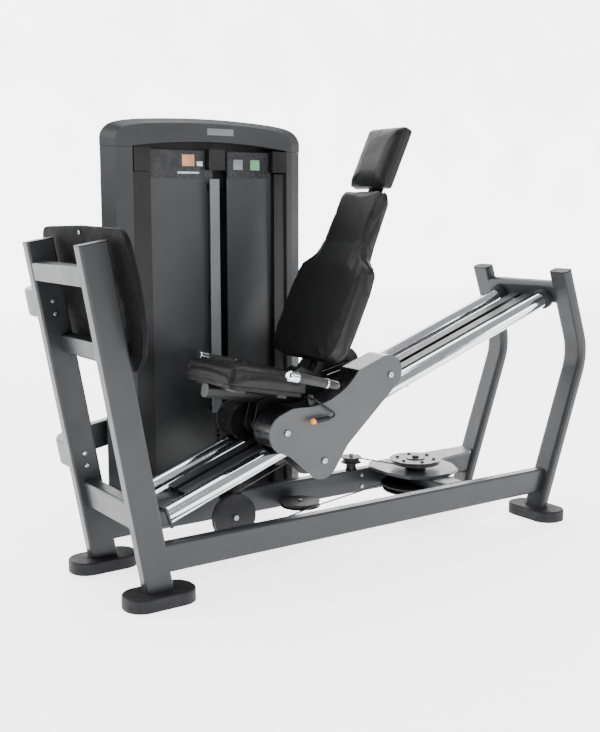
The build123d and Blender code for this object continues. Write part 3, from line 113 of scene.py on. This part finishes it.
def noise(nt, vec, scale, detail=3.0, rough=0.55):
    n = nt.nodes.new("ShaderNodeTexNoise")
    n.inputs["Scale"].default_value = scale
    n.inputs["Detail"].default_value = detail
    n.inputs["Roughness"].default_value = rough
    nt.links.new(vec, n.inputs["Vector"])
    return n.outputs["Fac"]


def voronoi(nt, vec, scale, feature="F1"):
    n = nt.nodes.new("ShaderNodeTexVoronoi")
    n.feature = feature
    n.inputs["Scale"].default_value = scale
    nt.links.new(vec, n.inputs["Vector"])
    return n.outputs["Distance"]


def bump(nt, b, src, strength, dist, prev=None):
    n = nt.nodes.new("ShaderNodeBump")
    n.inputs["Strength"].default_value = strength
    n.inputs["Distance"].default_value = dist
    nt.links.new(src, n.inputs["Height"])
    if prev is not None:
        nt.links.new(prev, n.inputs["Normal"])
    nt.links.new(n.outputs["Normal"], b.inputs["Normal"])
    return n.outputs["Normal"]


def mul(c, k):
    return tuple(min(1.0, v * k) for v in c)


def paint(name, col, rough=0.34, metallic=0.55, flake=0.10, coat=0.06):
    """Powder-coated metallic paint with fine flake and slight orange peel."""
    m, nt, b = new_mat(name)
    v = coords(nt)
    big = noise(nt, v, 3.0, 4.0)
    fine = noise(nt, v, 900.0, 2.0)
    mix = nt.nodes.new("ShaderNodeMath")
    mix.operation = "ADD"
    a1 = rng(nt, big, -0.25, 0.25)
    nt.links.new(a1, mix.inputs[0])
    nt.links.new(fine, mix.inputs[1])
    nt.links.new(ramp(nt, mix.outputs[0], mul(col, 1 - flake), mul(col, 1 + flake), 0.2, 0.8), b.inputs["Base Color"])
    nt.links.new(rng(nt, noise(nt, v, 14.0, 4.0), rough - 0.05, rough + 0.07), b.inputs["Roughness"])
    b.inputs["Metallic"].default_value = metallic
    b.inputs["Coat Weight"].default_value = coat
    b.inputs["Coat Roughness"].default_value = 0.18
    b.inputs["Specular IOR Level"].default_value = 0.3
    n1 = bump(nt, b, noise(nt, v, 420.0, 2.0), 0.10, 0.0004)
    return m


def chrome(name, col=(0.62, 0.63, 0.65), rough=0.10, brushed=0.0):
    m, nt, b = new_mat(name)
    v = coords(nt)
    nt.links.new(ramp(nt, noise(nt, v, 6.0, 3.0), mul(col, 0.93), mul(col, 1.05)), b.inputs["Base Color"])
    nt.links.new(rng(nt, noise(nt, v, 45.0, 5.0), rough * 0.7, rough * 1.5), b.inputs["Roughness"])
    b.inputs["Metallic"].default_value = 1.0
    vs = coords(nt, (900, 900, 40))
    bump(nt, b, noise(nt, vs, 1.0, 2.0), 0.02 + brushed, 0.0002)
    return m


def rubber(name, col=(0.010, 0.010, 0.011), rough=0.62, grain=260.0, depth=0.0005, spec=0.2):
    m, nt, b = new_mat(name)
    v = coords(nt)
    nt.links.new(ramp(nt, noise(nt, v, 22.0, 5.0), mul(col, 0.8), mul(col, 1.35)), b.inputs["Base Color"])
    nt.links.new(rng(nt, noise(nt, v, 30.0, 4.0), rough - 0.08, rough + 0.1), b.inputs["Roughness"])
    b.inputs["Specular IOR Level"].default_value = spec
    bump(nt, b, noise(nt, v, grain, 3.0), 0.25, depth)
    return m


def vinyl(name, col=(0.004, 0.004, 0.0045)):
    """Black upholstery vinyl: soft sheen with a pebble grain."""
    m, nt, b = new_mat(name)
    v = coords(nt)
    nt.links.new(ramp(nt, noise(nt, v, 5.0, 4.0), mul(col, 0.85), mul(col, 1.5)), b.inputs["Base Color"])
    nt.links.new(rng(nt, noise(nt, v, 18.0, 4.0), 0.42, 0.56), b.inputs["Roughness"])
    b.inputs["Specular IOR Level"].default_value = 0.22
    n1 = bump(nt, b, voronoi(nt, v, 620.0), 0.16, 0.0005)
    bump(nt, b, noise(nt, v, 16.0, 4.0), 0.25, 0.0015, n1)
    return m


def ribs(name, col, axis, pitch, rough=0.6):
    """Rubber with moulded ribs along one axis."""
    m, nt, b = new_mat(name)
    v = coords(nt)
    nt.links.new(ramp(nt, noise(nt, v, 24.0, 4.0), mul(col, 0.8), mul(col, 1.3)), b.inputs["Base Color"])
    nt.links.new(rng(nt, noise(nt, v, 30.0, 4.0), rough - 0.06, rough + 0.08), b.inputs["Roughness"])
    w = nt.nodes.new("ShaderNodeTexWave")
    w.wave_type = "BANDS"
    w.bands_direction = axis
    w.inputs["Scale"].default_value = 0.314159 / pitch
    w.inputs["Distortion"].default_value = 0.0
    nt.links.new(v, w.inputs["Vector"])
    n1 = bump(nt, b, w.outputs["Fac"], 0.6, 0.0012)
    bump(nt, b, noise(nt, v, 300.0, 3.0), 0.2, 0.0004, n1)
    return m


def screen_mat(name):
    """Dark tinted sheet, darker towards the foot."""
    m, nt, b = new_mat(name)
    v = coords(nt)
    sep = nt.nodes.new("ShaderNodeSeparateXYZ")
    nt.links.new(v, sep.inputs["Vector"])
    g = rng(nt, sep.outputs["Z"], 0.0, 1.0, 0.2, 1.5)
    mixn = nt.nodes.new("ShaderNodeMath")
    mixn.operation = "ADD"
    nt.links.new(g, mixn.inputs[0])
    nt.links.new(rng(nt, noise(nt, v, 2.5, 3.0), -0.06, 0.06), mixn.inputs[1])
    nt.links.new(ramp(nt, mixn.outputs[0], (0.005, 0.005, 0.006), (0.030, 0.031, 0.033), 0.05, 1.0), b.inputs["Base Color"])
    nt.links.new(rng(nt, noise(nt, v, 8.0, 3.0), 0.30, 0.40), b.inputs["Roughness"])
    b.inputs["Specular IOR Level"].default_value = 0.4
    bump(nt, b, noise(nt, v, 3.0, 2.0), 0.04, 0.002)
    return m


def cable_mat(name):
    m, nt, b = new_mat(name)
    v = coords(nt)
    nt.links.new(ramp(nt, noise(nt, v, 400.0, 2.0), (0.012, 0.012, 0.012), (0.035, 0.035, 0.036)), b.inputs["Base Color"])
    nt.links.new(rng(nt, noise(nt, v, 60.0, 3.0), 0.35, 0.5), b.inputs["Roughness"])
    bump(nt, b, noise(nt, v, 900.0, 2.0), 0.2, 0.0003)
    return m


def placard_mat(name):
    """Blank information panel: soft grey with a warm block and pale frames."""
    m, nt, b = new_mat(name)
    v = coords(nt)
    nt.links.new(ramp(nt, noise(nt, v, 12.0, 3.0), (0.012, 0.012, 0.014), (0.022, 0.022, 0.025)), b.inputs["Base Color"])
    nt.links.new(rng(nt, noise(nt, v, 40.0, 3.0), 0.22, 0.32), b.inputs["Roughness"])
    bump(nt, b, noise(nt, v, 200.0, 2.0), 0.05, 0.0003)
    return m


M = {}
M["frame"] = paint("frame_paint", (0.021, 0.022, 0.024), metallic=0.10)
M["tower"] = paint("tower_paint", (0.026, 0.027, 0.029), rough=0.38, metallic=0.12)
M["housing"] = paint("housing_paint", (0.050, 0.051, 0.053), rough=0.36, metallic=0.15)
M["wrap"] = paint("wrap_paint", (0.012, 0.012, 0.013), rough=0.26, metallic=0.3, coat=0.3)
M["channel"] = paint("channel_paint", (0.036, 0.037, 0.039), rough=0.36, metallic=0.2)
M["black"] = paint("black_paint", (0.005, 0.005, 0.0055), rough=0.36, metallic=0.0, coat=0.05)
M["strip"] = paint("strip_paint", (0.13, 0.132, 0.136), rough=0.42, metallic=0.2)
M["chrome"] = chrome("chrome")
M["steel"] = chrome("zinc_steel", (0.36, 0.36, 0.37), 0.28, 0.03)
M["dark_steel"] = chrome("dark_steel", (0.06, 0.06, 0.063), 0.36, 0.04)
M["rubber"] = rubber("rubber")
M["tyre"] = rubber("urethane", (0.009, 0.009, 0.010), 0.45, 160.0, 0.0003, 0.25)
M["plastic"] = rubber("black_plastic", (0.006, 0.006, 0.0065), 0.46, 420.0, 0.0002, 0.2)
M["pulley"] = rubber("pulley_nylon", (0.010, 0.010, 0.011), 0.44, 500.0, 0.0002, 0.25)
M["iron"] = rubber("cast_iron", (0.007, 0.007, 0.0075), 0.55, 240.0, 0.0008, 0.25)
M["vinyl"] = vinyl("vinyl")
M["piping"] = vinyl("piping", (0.006, 0.006, 0.0065))
M["mat"] = rubber("footplate_rubber", (0.005, 0.005, 0.0055), 0.66, 120.0, 0.0012, 0.18)
M["board"] = rubber("moulded_board", (0.004, 0.004, 0.0045), 0.72, 300.0, 0.0003, 0.08)
M["grip"] = ribs("grip_ribs", (0.008, 0.008, 0.009), "X", 0.0035)
M["orange"] = rubber("orange_cap", (0.80, 0.20, 0.012), 0.35, 300.0, 0.0002, 0.5)
M["red"] = rubber("pin_red", (0.45, 0.03, 0.02), 0.35, 300.0, 0.0002, 0.5)
M["screen"] = screen_mat("tinted_screen")
M["placard"] = placard_mat("placard")
M["cable"] = cable_mat("coated_cable")

ASSIGN = {
    "front_posts": "frame", "base_rails": "frame", "rear_uprights": "frame", "tube_end_caps": "plastic",
    "frame_cross_tubes": "frame", "guide_rail_links": "frame", "guide_tubes": "chrome", "rubber_bumpers": "rubber",
    "centre_channel": "channel", "start_position_rack": "dark_steel", "rubber_feet": "rubber", "footplate_board": "board",
    "footplate_mat": "mat", "footplate_supports": "frame", "tower_braces": "frame", "tower_inner_frame": "black",
    "tower_columns": "tower", "tower_crown": "tower", "tower_back_shell": "tower",
    "tower_side_posts": "black", "tower_screens": "screen", "centre_strip": "strip", "tower_placards": "placard",
    "stack_guide_rods": "chrome", "weight_plates_resting": "iron", "pulley_brackets": "black", "drum_mount_plate": "channel",
    "lift_cable": "cable", "bolts_and_axles": "steel", "weight_plates_lifted": "iron", "selector_rod": "steel",
    # housing_inner_plates take the black paint as painted shade: the inner plates sit in shadow between the housings,
    # so their dark look is painted into their colour
    "stack_cable": "cable", "selector_pin": "red", "housing_outer_plates": "housing", "housing_inner_plates": "black", "housing_wraps": "wrap",
    "carriage_axles": "steel", "carriage_frame": "black", "seat_back_tube": "black", "pad_brackets": "black",
    "pad_boards": "plastic", "seat_cushion": "vinyl", "back_cushion": "vinyl", "headrest_cushion": "vinyl",
    "handle_arms": "black", "handle_tubes": "chrome", "handle_grips": "grip", "carriage_cable": "cable",
    "rollers_front": "tyre", "rollers_rear": "tyre", "rollers_lower": "tyre", "start_lever": "plastic",
    "lever_end_cap": "orange", "front_pulley": "pulley", "idler_pulley": "pulley", "rail_idler_pulley": "pulley",
    "cable_drum": "pulley", "cam_disc": "channel", "tower_foot_pulley": "pulley", "top_pulley": "pulley",
}
for n, k in ASSIGN.items():
    if n in nodes:
        o = nodes[n]
        o.data.materials.clear()
        o.data.materials.append(M[k])


def bevel(n, width=0.0012, seg=2, angle=35):
    o = nodes[n]
    mod = o.modifiers.new("edge", "BEVEL")
    mod.width = width
    mod.segments = seg
    mod.limit_method = "ANGLE"
    mod.angle_limit = math.radians(angle)
    mod.harden_normals = False


for n in ("housing_outer_plates", "housing_inner_plates", "tower_columns", "tower_crown", "weight_plates_resting", "weight_plates_lifted",
          "footplate_supports", "drum_mount_plate"):
    if n in nodes:
        bevel(n)


# ------------------------------------------------------------------ cushions
def node_copy(n, name):
    src = nodes[n]
    me = src.data.copy()
    me.transform(src.matrix_world)
    o = bpy.data.objects.new(name, me)
    bpy.context.scene.collection.objects.link(o)
    return o


def only(o):
    for x in bpy.context.view_layer.objects:
        x.select_set(False)
    o.select_set(True)
    bpy.context.view_layer.objects.active = o


def apply_all(o):
    only(o)
    dg = bpy.context.evaluated_depsgraph_get()
    me = bpy.data.meshes.new_from_object(o.evaluated_get(dg), depsgraph=dg)
    o.modifiers.clear()
    o.data = me


def cushion(n, name, back_pt, normal, shrink=0.0035, voxel=0.007, pressure=4.0):
    """Padded cushion: the CAD solid, shrunk, remeshed and blown up a little; its back stays flat."""
    normal = Vector(normal).normalized()
    back_pt = Vector(back_pt)
    o = node_copy(n, name)
    # shrink along the vertex normals after a first remesh
    r = o.modifiers.new("remesh", "REMESH")
    r.mode = "VOXEL"
    r.voxel_size = voxel
    r.use_smooth_shade = True
    apply_all(o)
    me = o.data
    nrm = [v.normal.copy() for v in me.vertices]
    start = []
    for v, q in zip(me.vertices, nrm):
        d = (v.co - back_pt).dot(normal)
        v.co -= q * (shrink if d > 0.004 else 0.0)
        start.append(v.co.copy())
    sm = o.modifiers.new("smooth", "SMOOTH")
    sm.factor = 0.5
    sm.iterations = 6
    apply_all(o)
    me = o.data
    rest = [v.co.copy() for v in me.vertices]
    vg = o.vertex_groups.new(name="pin")
    for v in me.vertices:
        d = (v.co - back_pt).dot(normal)
        w = 1.0 if d < 0.010 else max(0.0, 1.0 - (d - 0.010) / 0.012)
        vg.add([v.index], w, "REPLACE")
    cl = o.modifiers.new("cloth", "CLOTH")
    st = cl.settings
    st.quality = 5
    st.mass = 0.3
    st.tension_stiffness = 25
    st.compression_stiffness = 25
    st.shear_stiffness = 12
    st.bending_stiffness = 2.0
    st.use_pressure = True
    st.uniform_pressure_force = pressure
    st.effector_weights.gravity = 0.0
    st.vertex_group_mass = "pin"
    cl.point_cache.frame_start = 1
    cl.point_cache.frame_end = 20
    sc = bpy.context.scene
    for fr in range(1, 21):
        sc.frame_set(fr)
    apply_all(o)
    sc.frame_set(1)
    me = o.data
    cap = shrink + 0.002
    for v, q in zip(me.vertices, rest):
        d = v.co - q
        if d.length > cap:
            v.co = q + d.normalized() * cap
    for p in o.data.polygons:
        p.use_smooth = True
    o.data.materials.clear()
    o.data.materials.append(M["vinyl"])
    sub = o.modifiers.new("fine", "SUBSURF")
    sub.levels = 1
    sub.render_levels = 1
    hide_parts(n)
    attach(o, "carriage")
    return o


def tube_along(name, pts, r, mat, body, closed=True, seg=10):
    """Round strand through points, as a mesh."""
    cu = bpy.data.curves.new(name, "CURVE")
    cu.dimensions = "3D"
    cu.bevel_depth = r
    cu.bevel_resolution = 3
    cu.resolution_u = 3
    sp = cu.splines.new("POLY")
    sp.points.add(len(pts) - 1)
    for i, p in enumerate(pts):
        sp.points[i].co = (*p, 1.0)
    sp.use_cyclic_u = closed
    ob = bpy.data.objects.new(name, cu)
    bpy.context.scene.collection.objects.link(ob)
    dg = bpy.context.evaluated_depsgraph_get()
    me = bpy.data.meshes.new_from_object(ob.evaluated_get(dg), depsgraph=dg)
    bpy.data.objects.remove(ob)
    o = bpy.data.objects.new(name, me)
    bpy.context.scene.collection.objects.link(o)
    for p in me.polygons:
        p.use_smooth = True
    me.materials.append(mat)
    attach(o, body)
    return o


def outline_at(n, back_pt, normal, height, inset=0.0, grow=0.0):
    """Ordered loop where a cushion's CAD solid is cut by a plane parallel to its back."""
    src = nodes[n]
    bm = bmesh.new()
    bm.from_mesh(src.data)
    bm.transform(src.matrix_world)
    nv = Vector(normal).normalized()
    co = Vector(back_pt) + nv * height
    res = bmesh.ops.bisect_plane(bm, geom=bm.verts[:] + bm.edges[:] + bm.faces[:], plane_co=co, plane_no=nv)
    edges = [e for e in res["geom_cut"] if isinstance(e, bmesh.types.BMEdge)]
    link = {}
    for e in edges:
        a, b = e.verts
        link.setdefault(a, []).append(b)
        link.setdefault(b, []).append(a)
    loops = []
    seen = set()
    for s in link:
        if s in seen:
            continue
        loop = [s]
        seen.add(s)
        cur, prev = s, None
        while True:
            nxt = [x for x in link[cur] if x is not prev and x not in seen]
            if not nxt:
                break
            prev, cur = cur, nxt[0]
            seen.add(cur)
            loop.append(cur)
        loops.append([v.co.copy() for v in loop])
    bm.free()
    loop = max(loops, key=len)
    c = sum(loop, Vector()) / len(loop)
    # resample evenly
    pts = loop + [loop[0]]
    seg = [(pts[i + 1] - pts[i]).length for i in range(len(pts) - 1)]
    total = sum(seg)
    n_out = 180
    out = []
    i, acc = 0, 0.0
    for k in range(n_out):
        t = total * k / n_out
        while i < len(seg) - 1 and acc + seg[i] < t:
            acc += seg[i]
            i += 1
        f = (t - acc) / max(seg[i], 1e-9)
        p = pts[i].lerp(pts[i + 1], min(max(f, 0.0), 1.0))
        out.append(p)
    res = []
    m = len(out)
    for k, p in enumerate(out):
        tan = (out[(k + 1) % m] - out[k - 1]).normalized()
        side = tan.cross(nv).normalized()
        if side.dot(p - c) < 0:
            side = -side
        res.append(p + side * grow)
    return res


tilt = math.radians(25)
bn = Vector((-math.cos(tilt), 0, math.sin(tilt)))
bt = Vector((math.sin(tilt), 0, math.cos(tilt)))
B0 = D(-56, 0, 805)
st = math.radians(11)
sn = Vector((math.sin(st), 0, math.cos(st)))
S0 = D(-548, 0, 705)
H0 = B0 + bn * -0.004

pads = {
    "seat_cushion": (S0, sn, 0.012),
    "back_cushion": (B0, bn, 0.012),
    "headrest_cushion": (H0, bn, 0.010),
}
for n, (bp, nv, h) in pads.items():
    cushion(n, n.replace("_cushion", "_pad"), bp, nv)
    # welt where the top sheet meets the back sheet
    lp = outline_at(n, bp, nv, h, grow=-0.0018)
    tube_along(n.replace("_cushion", "_welt"), lp, 0.0022, M["piping"], "carriage")


# ------------------------------------------------------------------ small details
def rounded_box(name, centre, size, r, xdir, zdir, mat, body, seg=3):
    zdir = Vector(zdir).normalized()
    xdir = (Vector(xdir) - zdir * Vector(xdir).dot(zdir)).normalized()
    ydir = zdir.cross(xdir)
    bm = bmesh.new()
    bmesh.ops.create_cube(bm, size=1.0)
    for v in bm.verts:
        v.co = Vector((v.co.x * size[0], v.co.y * size[1], v.co.z * size[2]))
    bmesh.ops.bevel(bm, geom=bm.edges[:], offset=r, segments=seg, profile=0.5, affect="EDGES")
    R = Matrix((xdir, ydir, zdir)).transposed()
    for v in bm.verts:
        v.co = R @ v.co + Vector(centre)
    me = bpy.data.meshes.new(name)
    bm.to_mesh(me)
    bm.free()
    for p in me.polygons:
        p.use_smooth = True
    o = bpy.data.objects.new(name, me)
    bpy.context.scene.collection.objects.link(o)
    me.materials.append(mat)
    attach(o, body)
    return o


def running_cable(n, axis, fixed_low):
    """A straight wire rope with many rings, built along the CAD cable's axis and put in its place."""
    src = nodes[n]
    vs = [src.matrix_world @ v.co for v in src.data.vertices]
    axis = Vector(axis).normalized()
    ts = [v.dot(axis) for v in vs]
    t0, t1 = min(ts), max(ts)
    c0 = [v for v, t in zip(vs, ts) if t < t0 + 0.002]
    c1 = [v for v, t in zip(vs, ts) if t > t1 - 0.002]
    a, b2 = sum(c0, Vector()) / len(c0), sum(c1, Vector()) / len(c1)
    r = sorted((v - a).cross(axis).length for v in vs)[len(vs) // 2]
    r = min(max(r, 0.0022), 0.004)
    d = b2 - a
    ref = Vector((0, 1, 0)) if abs(axis.y) < 0.9 else Vector((1, 0, 0))
    e1 = axis.cross(ref).normalized()
    e2 = axis.cross(e1)
    rings, k = 90, 12
    verts, faces = [], []
    for i in range(rings + 1):
        for j in range(k):
            g = 2 * math.pi * j / k
            verts.append(tuple(a + d * (i / rings) + (e1 * math.cos(g) + e2 * math.sin(g)) * r))
    for i in range(rings):
        for j in range(k):
            j2 = (j + 1) % k
            faces.append((i * k + j, i * k + j2, (i + 1) * k + j2, (i + 1) * k + j))
    faces.append(tuple(range(k))[::-1])
    faces.append(tuple(rings * k + j for j in range(k)))
    me = bpy.data.meshes.new(n + "_run")
    me.from_pydata(verts, [], faces)
    o = bpy.data.objects.new(n + "_run", me)
    bpy.context.scene.collection.objects.link(o)
    bm = bmesh.new()
    bm.from_mesh(me)
    bmesh.ops.recalc_face_normals(bm, faces=bm.faces[:])
    bm.to_mesh(me)
    bm.free()
    for p in me.polygons:
        p.use_smooth = True
    me.materials.append(M["cable"])
    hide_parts(n)
    if fixed_low:
        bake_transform(o)
    else:
        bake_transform(o)
    return o


SLOPE = math.atan(0.357)
running_cable("stack_cable", (0, 0, 1), False)
running_cable("carriage_cable", (math.cos(SLOPE), 0, math.sin(SLOPE)), True)

# printed areas of the placards, kept generic
M["print_warm"] = rubber("print_warm", (0.42, 0.20, 0.10), 0.35, 60.0, 0.0001, 0.4)
M["print_pale"] = rubber("print_pale", (0.42, 0.43, 0.44), 0.35, 60.0, 0.0001, 0.4)
M["print_green"] = rubber("print_green", (0.10, 0.24, 0.13), 0.35, 60.0, 0.0001, 0.4)
M["print_grey"] = rubber("print_grey", (0.14, 0.145, 0.15), 0.35, 60.0, 0.0001, 0.4)
for nm, x, z, w, h, k in (("placard_print_a", -396, 1502, 54, 44, "print_warm"), ("placard_print_b", -396, 1455, 96, 7, "print_pale"),
                          ("placard_print_c", -170, 1490, 44, 40, "print_grey"), ("placard_print_d", -90, 1490, 44, 40, "print_green"),
                          ("placard_print_e", -345, 1490, 26, 18, "print_pale")):
    rounded_box(nm, D(x, 380.7, z), (w / 1000, h / 1000, 0.0010), 0.0004, (1, 0, 0), (0, -1, 0), M[k], "frame")
# plain oval badge on the crown, without lettering
rounded_box("crown_badge", D(-268, 349.4, 1612), (0.118, 0.026, 0.0016), 0.0007, (1, 0, 0), (0, -1, 0), M["strip"], "frame")

# ------------------------------------------------------------------ floor, light, camera
bpy.ops.mesh.primitive_plane_add(size=1)
floor = bpy.context.object
floor.name = "floor"
floor.scale = (60, 60, 1)
floor.location = (0, 12, -0.0005)
fm, nt, b = new_mat("floor_pale")
v = coords(nt)
nt.links.new(ramp(nt, noise(nt, v, 2.0, 3.0), (0.90, 0.90, 0.90), (0.94, 0.94, 0.94)), b.inputs["Base Color"])
b.inputs["Roughness"].default_value = 0.75
b.inputs["Emission Color"].default_value = (1.0, 1.0, 1.0, 1.0)
b.inputs["Emission Strength"].default_value = 2.6
floor.data.materials.append(fm)

w = bpy.data.worlds.new("studio")
bpy.context.scene.world = w
w.use_nodes = True
bg = w.node_tree.nodes["Background"]
bg.inputs["Color"].default_value = (1.0, 1.0, 1.0, 1.0)
bg.inputs["Strength"].default_value = 0.6
# the surroundings are darker on the left, as a wide dark flat there would make them
wtc = w.node_tree.nodes.new("ShaderNodeTexCoord")
wsep = w.node_tree.nodes.new("ShaderNodeSeparateXYZ")
w.node_tree.links.new(wtc.outputs["Generated"], wsep.inputs["Vector"])
w.node_tree.links.new(ramp(w.node_tree, rng(w.node_tree, wsep.outputs["X"], 0.0, 1.0, -0.9, 0.1), (0.12, 0.12, 0.12), (1.0, 1.0, 1.0), 0.1, 0.9), bg.inputs["Color"])


def area(name, loc, target, size, power, sy=None):
    d = bpy.data.lights.new(name, "AREA")
    d.energy = power
    d.size = size
    if sy:
        d.shape = "RECTANGLE"
        d.size_y = sy
    o = bpy.data.objects.new(name, d)
    bpy.context.scene.collection.objects.link(o)
    o.location = loc
    o.rotation_euler = (Vector(target) - Vector(loc)).to_track_quat("-Z", "Y").to_euler()
    return o


area("key", (-1.4, -5.0, 3.4), (0, 0, 0.7), 2.2, 190)
area("fill", (3.6, -2.8, 2.0), (0.2, 0, 0.7), 2.0, 70)
area("top", (0.0, 0.0, 4.4), (0, 0, 0), 2.4, 80)


def card(name, corners, col, glow=0.0):
    """Flat studio card behind the part; it glows and makes the white background."""
    me = bpy.data.meshes.new(name)
    me.from_pydata([tuple(c) for c in corners], [], [(0, 1, 2, 3)])
    o = bpy.data.objects.new(name, me)
    bpy.context.scene.collection.objects.link(o)
    m, nt, b = new_mat(name)
    v = coords(nt)
    nt.links.new(ramp(nt, noise(nt, v, 1.0, 2.0), mul(col, 0.9), mul(col, 1.1)), b.inputs["Base Color"])
    b.inputs["Roughness"].default_value = 0.9
    b.inputs["Emission Color"].default_value = (1.0, 1.0, 1.0, 1.0)
    b.inputs["Emission Strength"].default_value = glow
    me.materials.append(m)
    return o


card("backdrop", ((-40, 10, -1), (40, 10, -1), (40, 10, 24), (-40, 10, 24)), (0.9, 0.9, 0.9), 3.6)

cam_d = bpy.data.cameras.new("camera")
cam = bpy.data.objects.new("camera", cam_d)
bpy.context.scene.collection.objects.link(cam)
cam_d.sensor_fit = "AUTO"
cam_d.sensor_width = 36.0
cam_d.lens = 1052.42 * 36.0 / 732.0
cam.location = D(-2415.46, -3281.71, 1310.89)
yaw, pitch, roll = math.radians(34.833), math.radians(8.429), math.radians(0.157)
fwd = Vector((math.sin(yaw) * math.cos(pitch), math.cos(yaw) * math.cos(pitch), -math.sin(pitch)))
q = fwd.to_track_quat("-Z", "Y")
cam.rotation_euler = q.to_euler()
bpy.context.scene.camera = cam
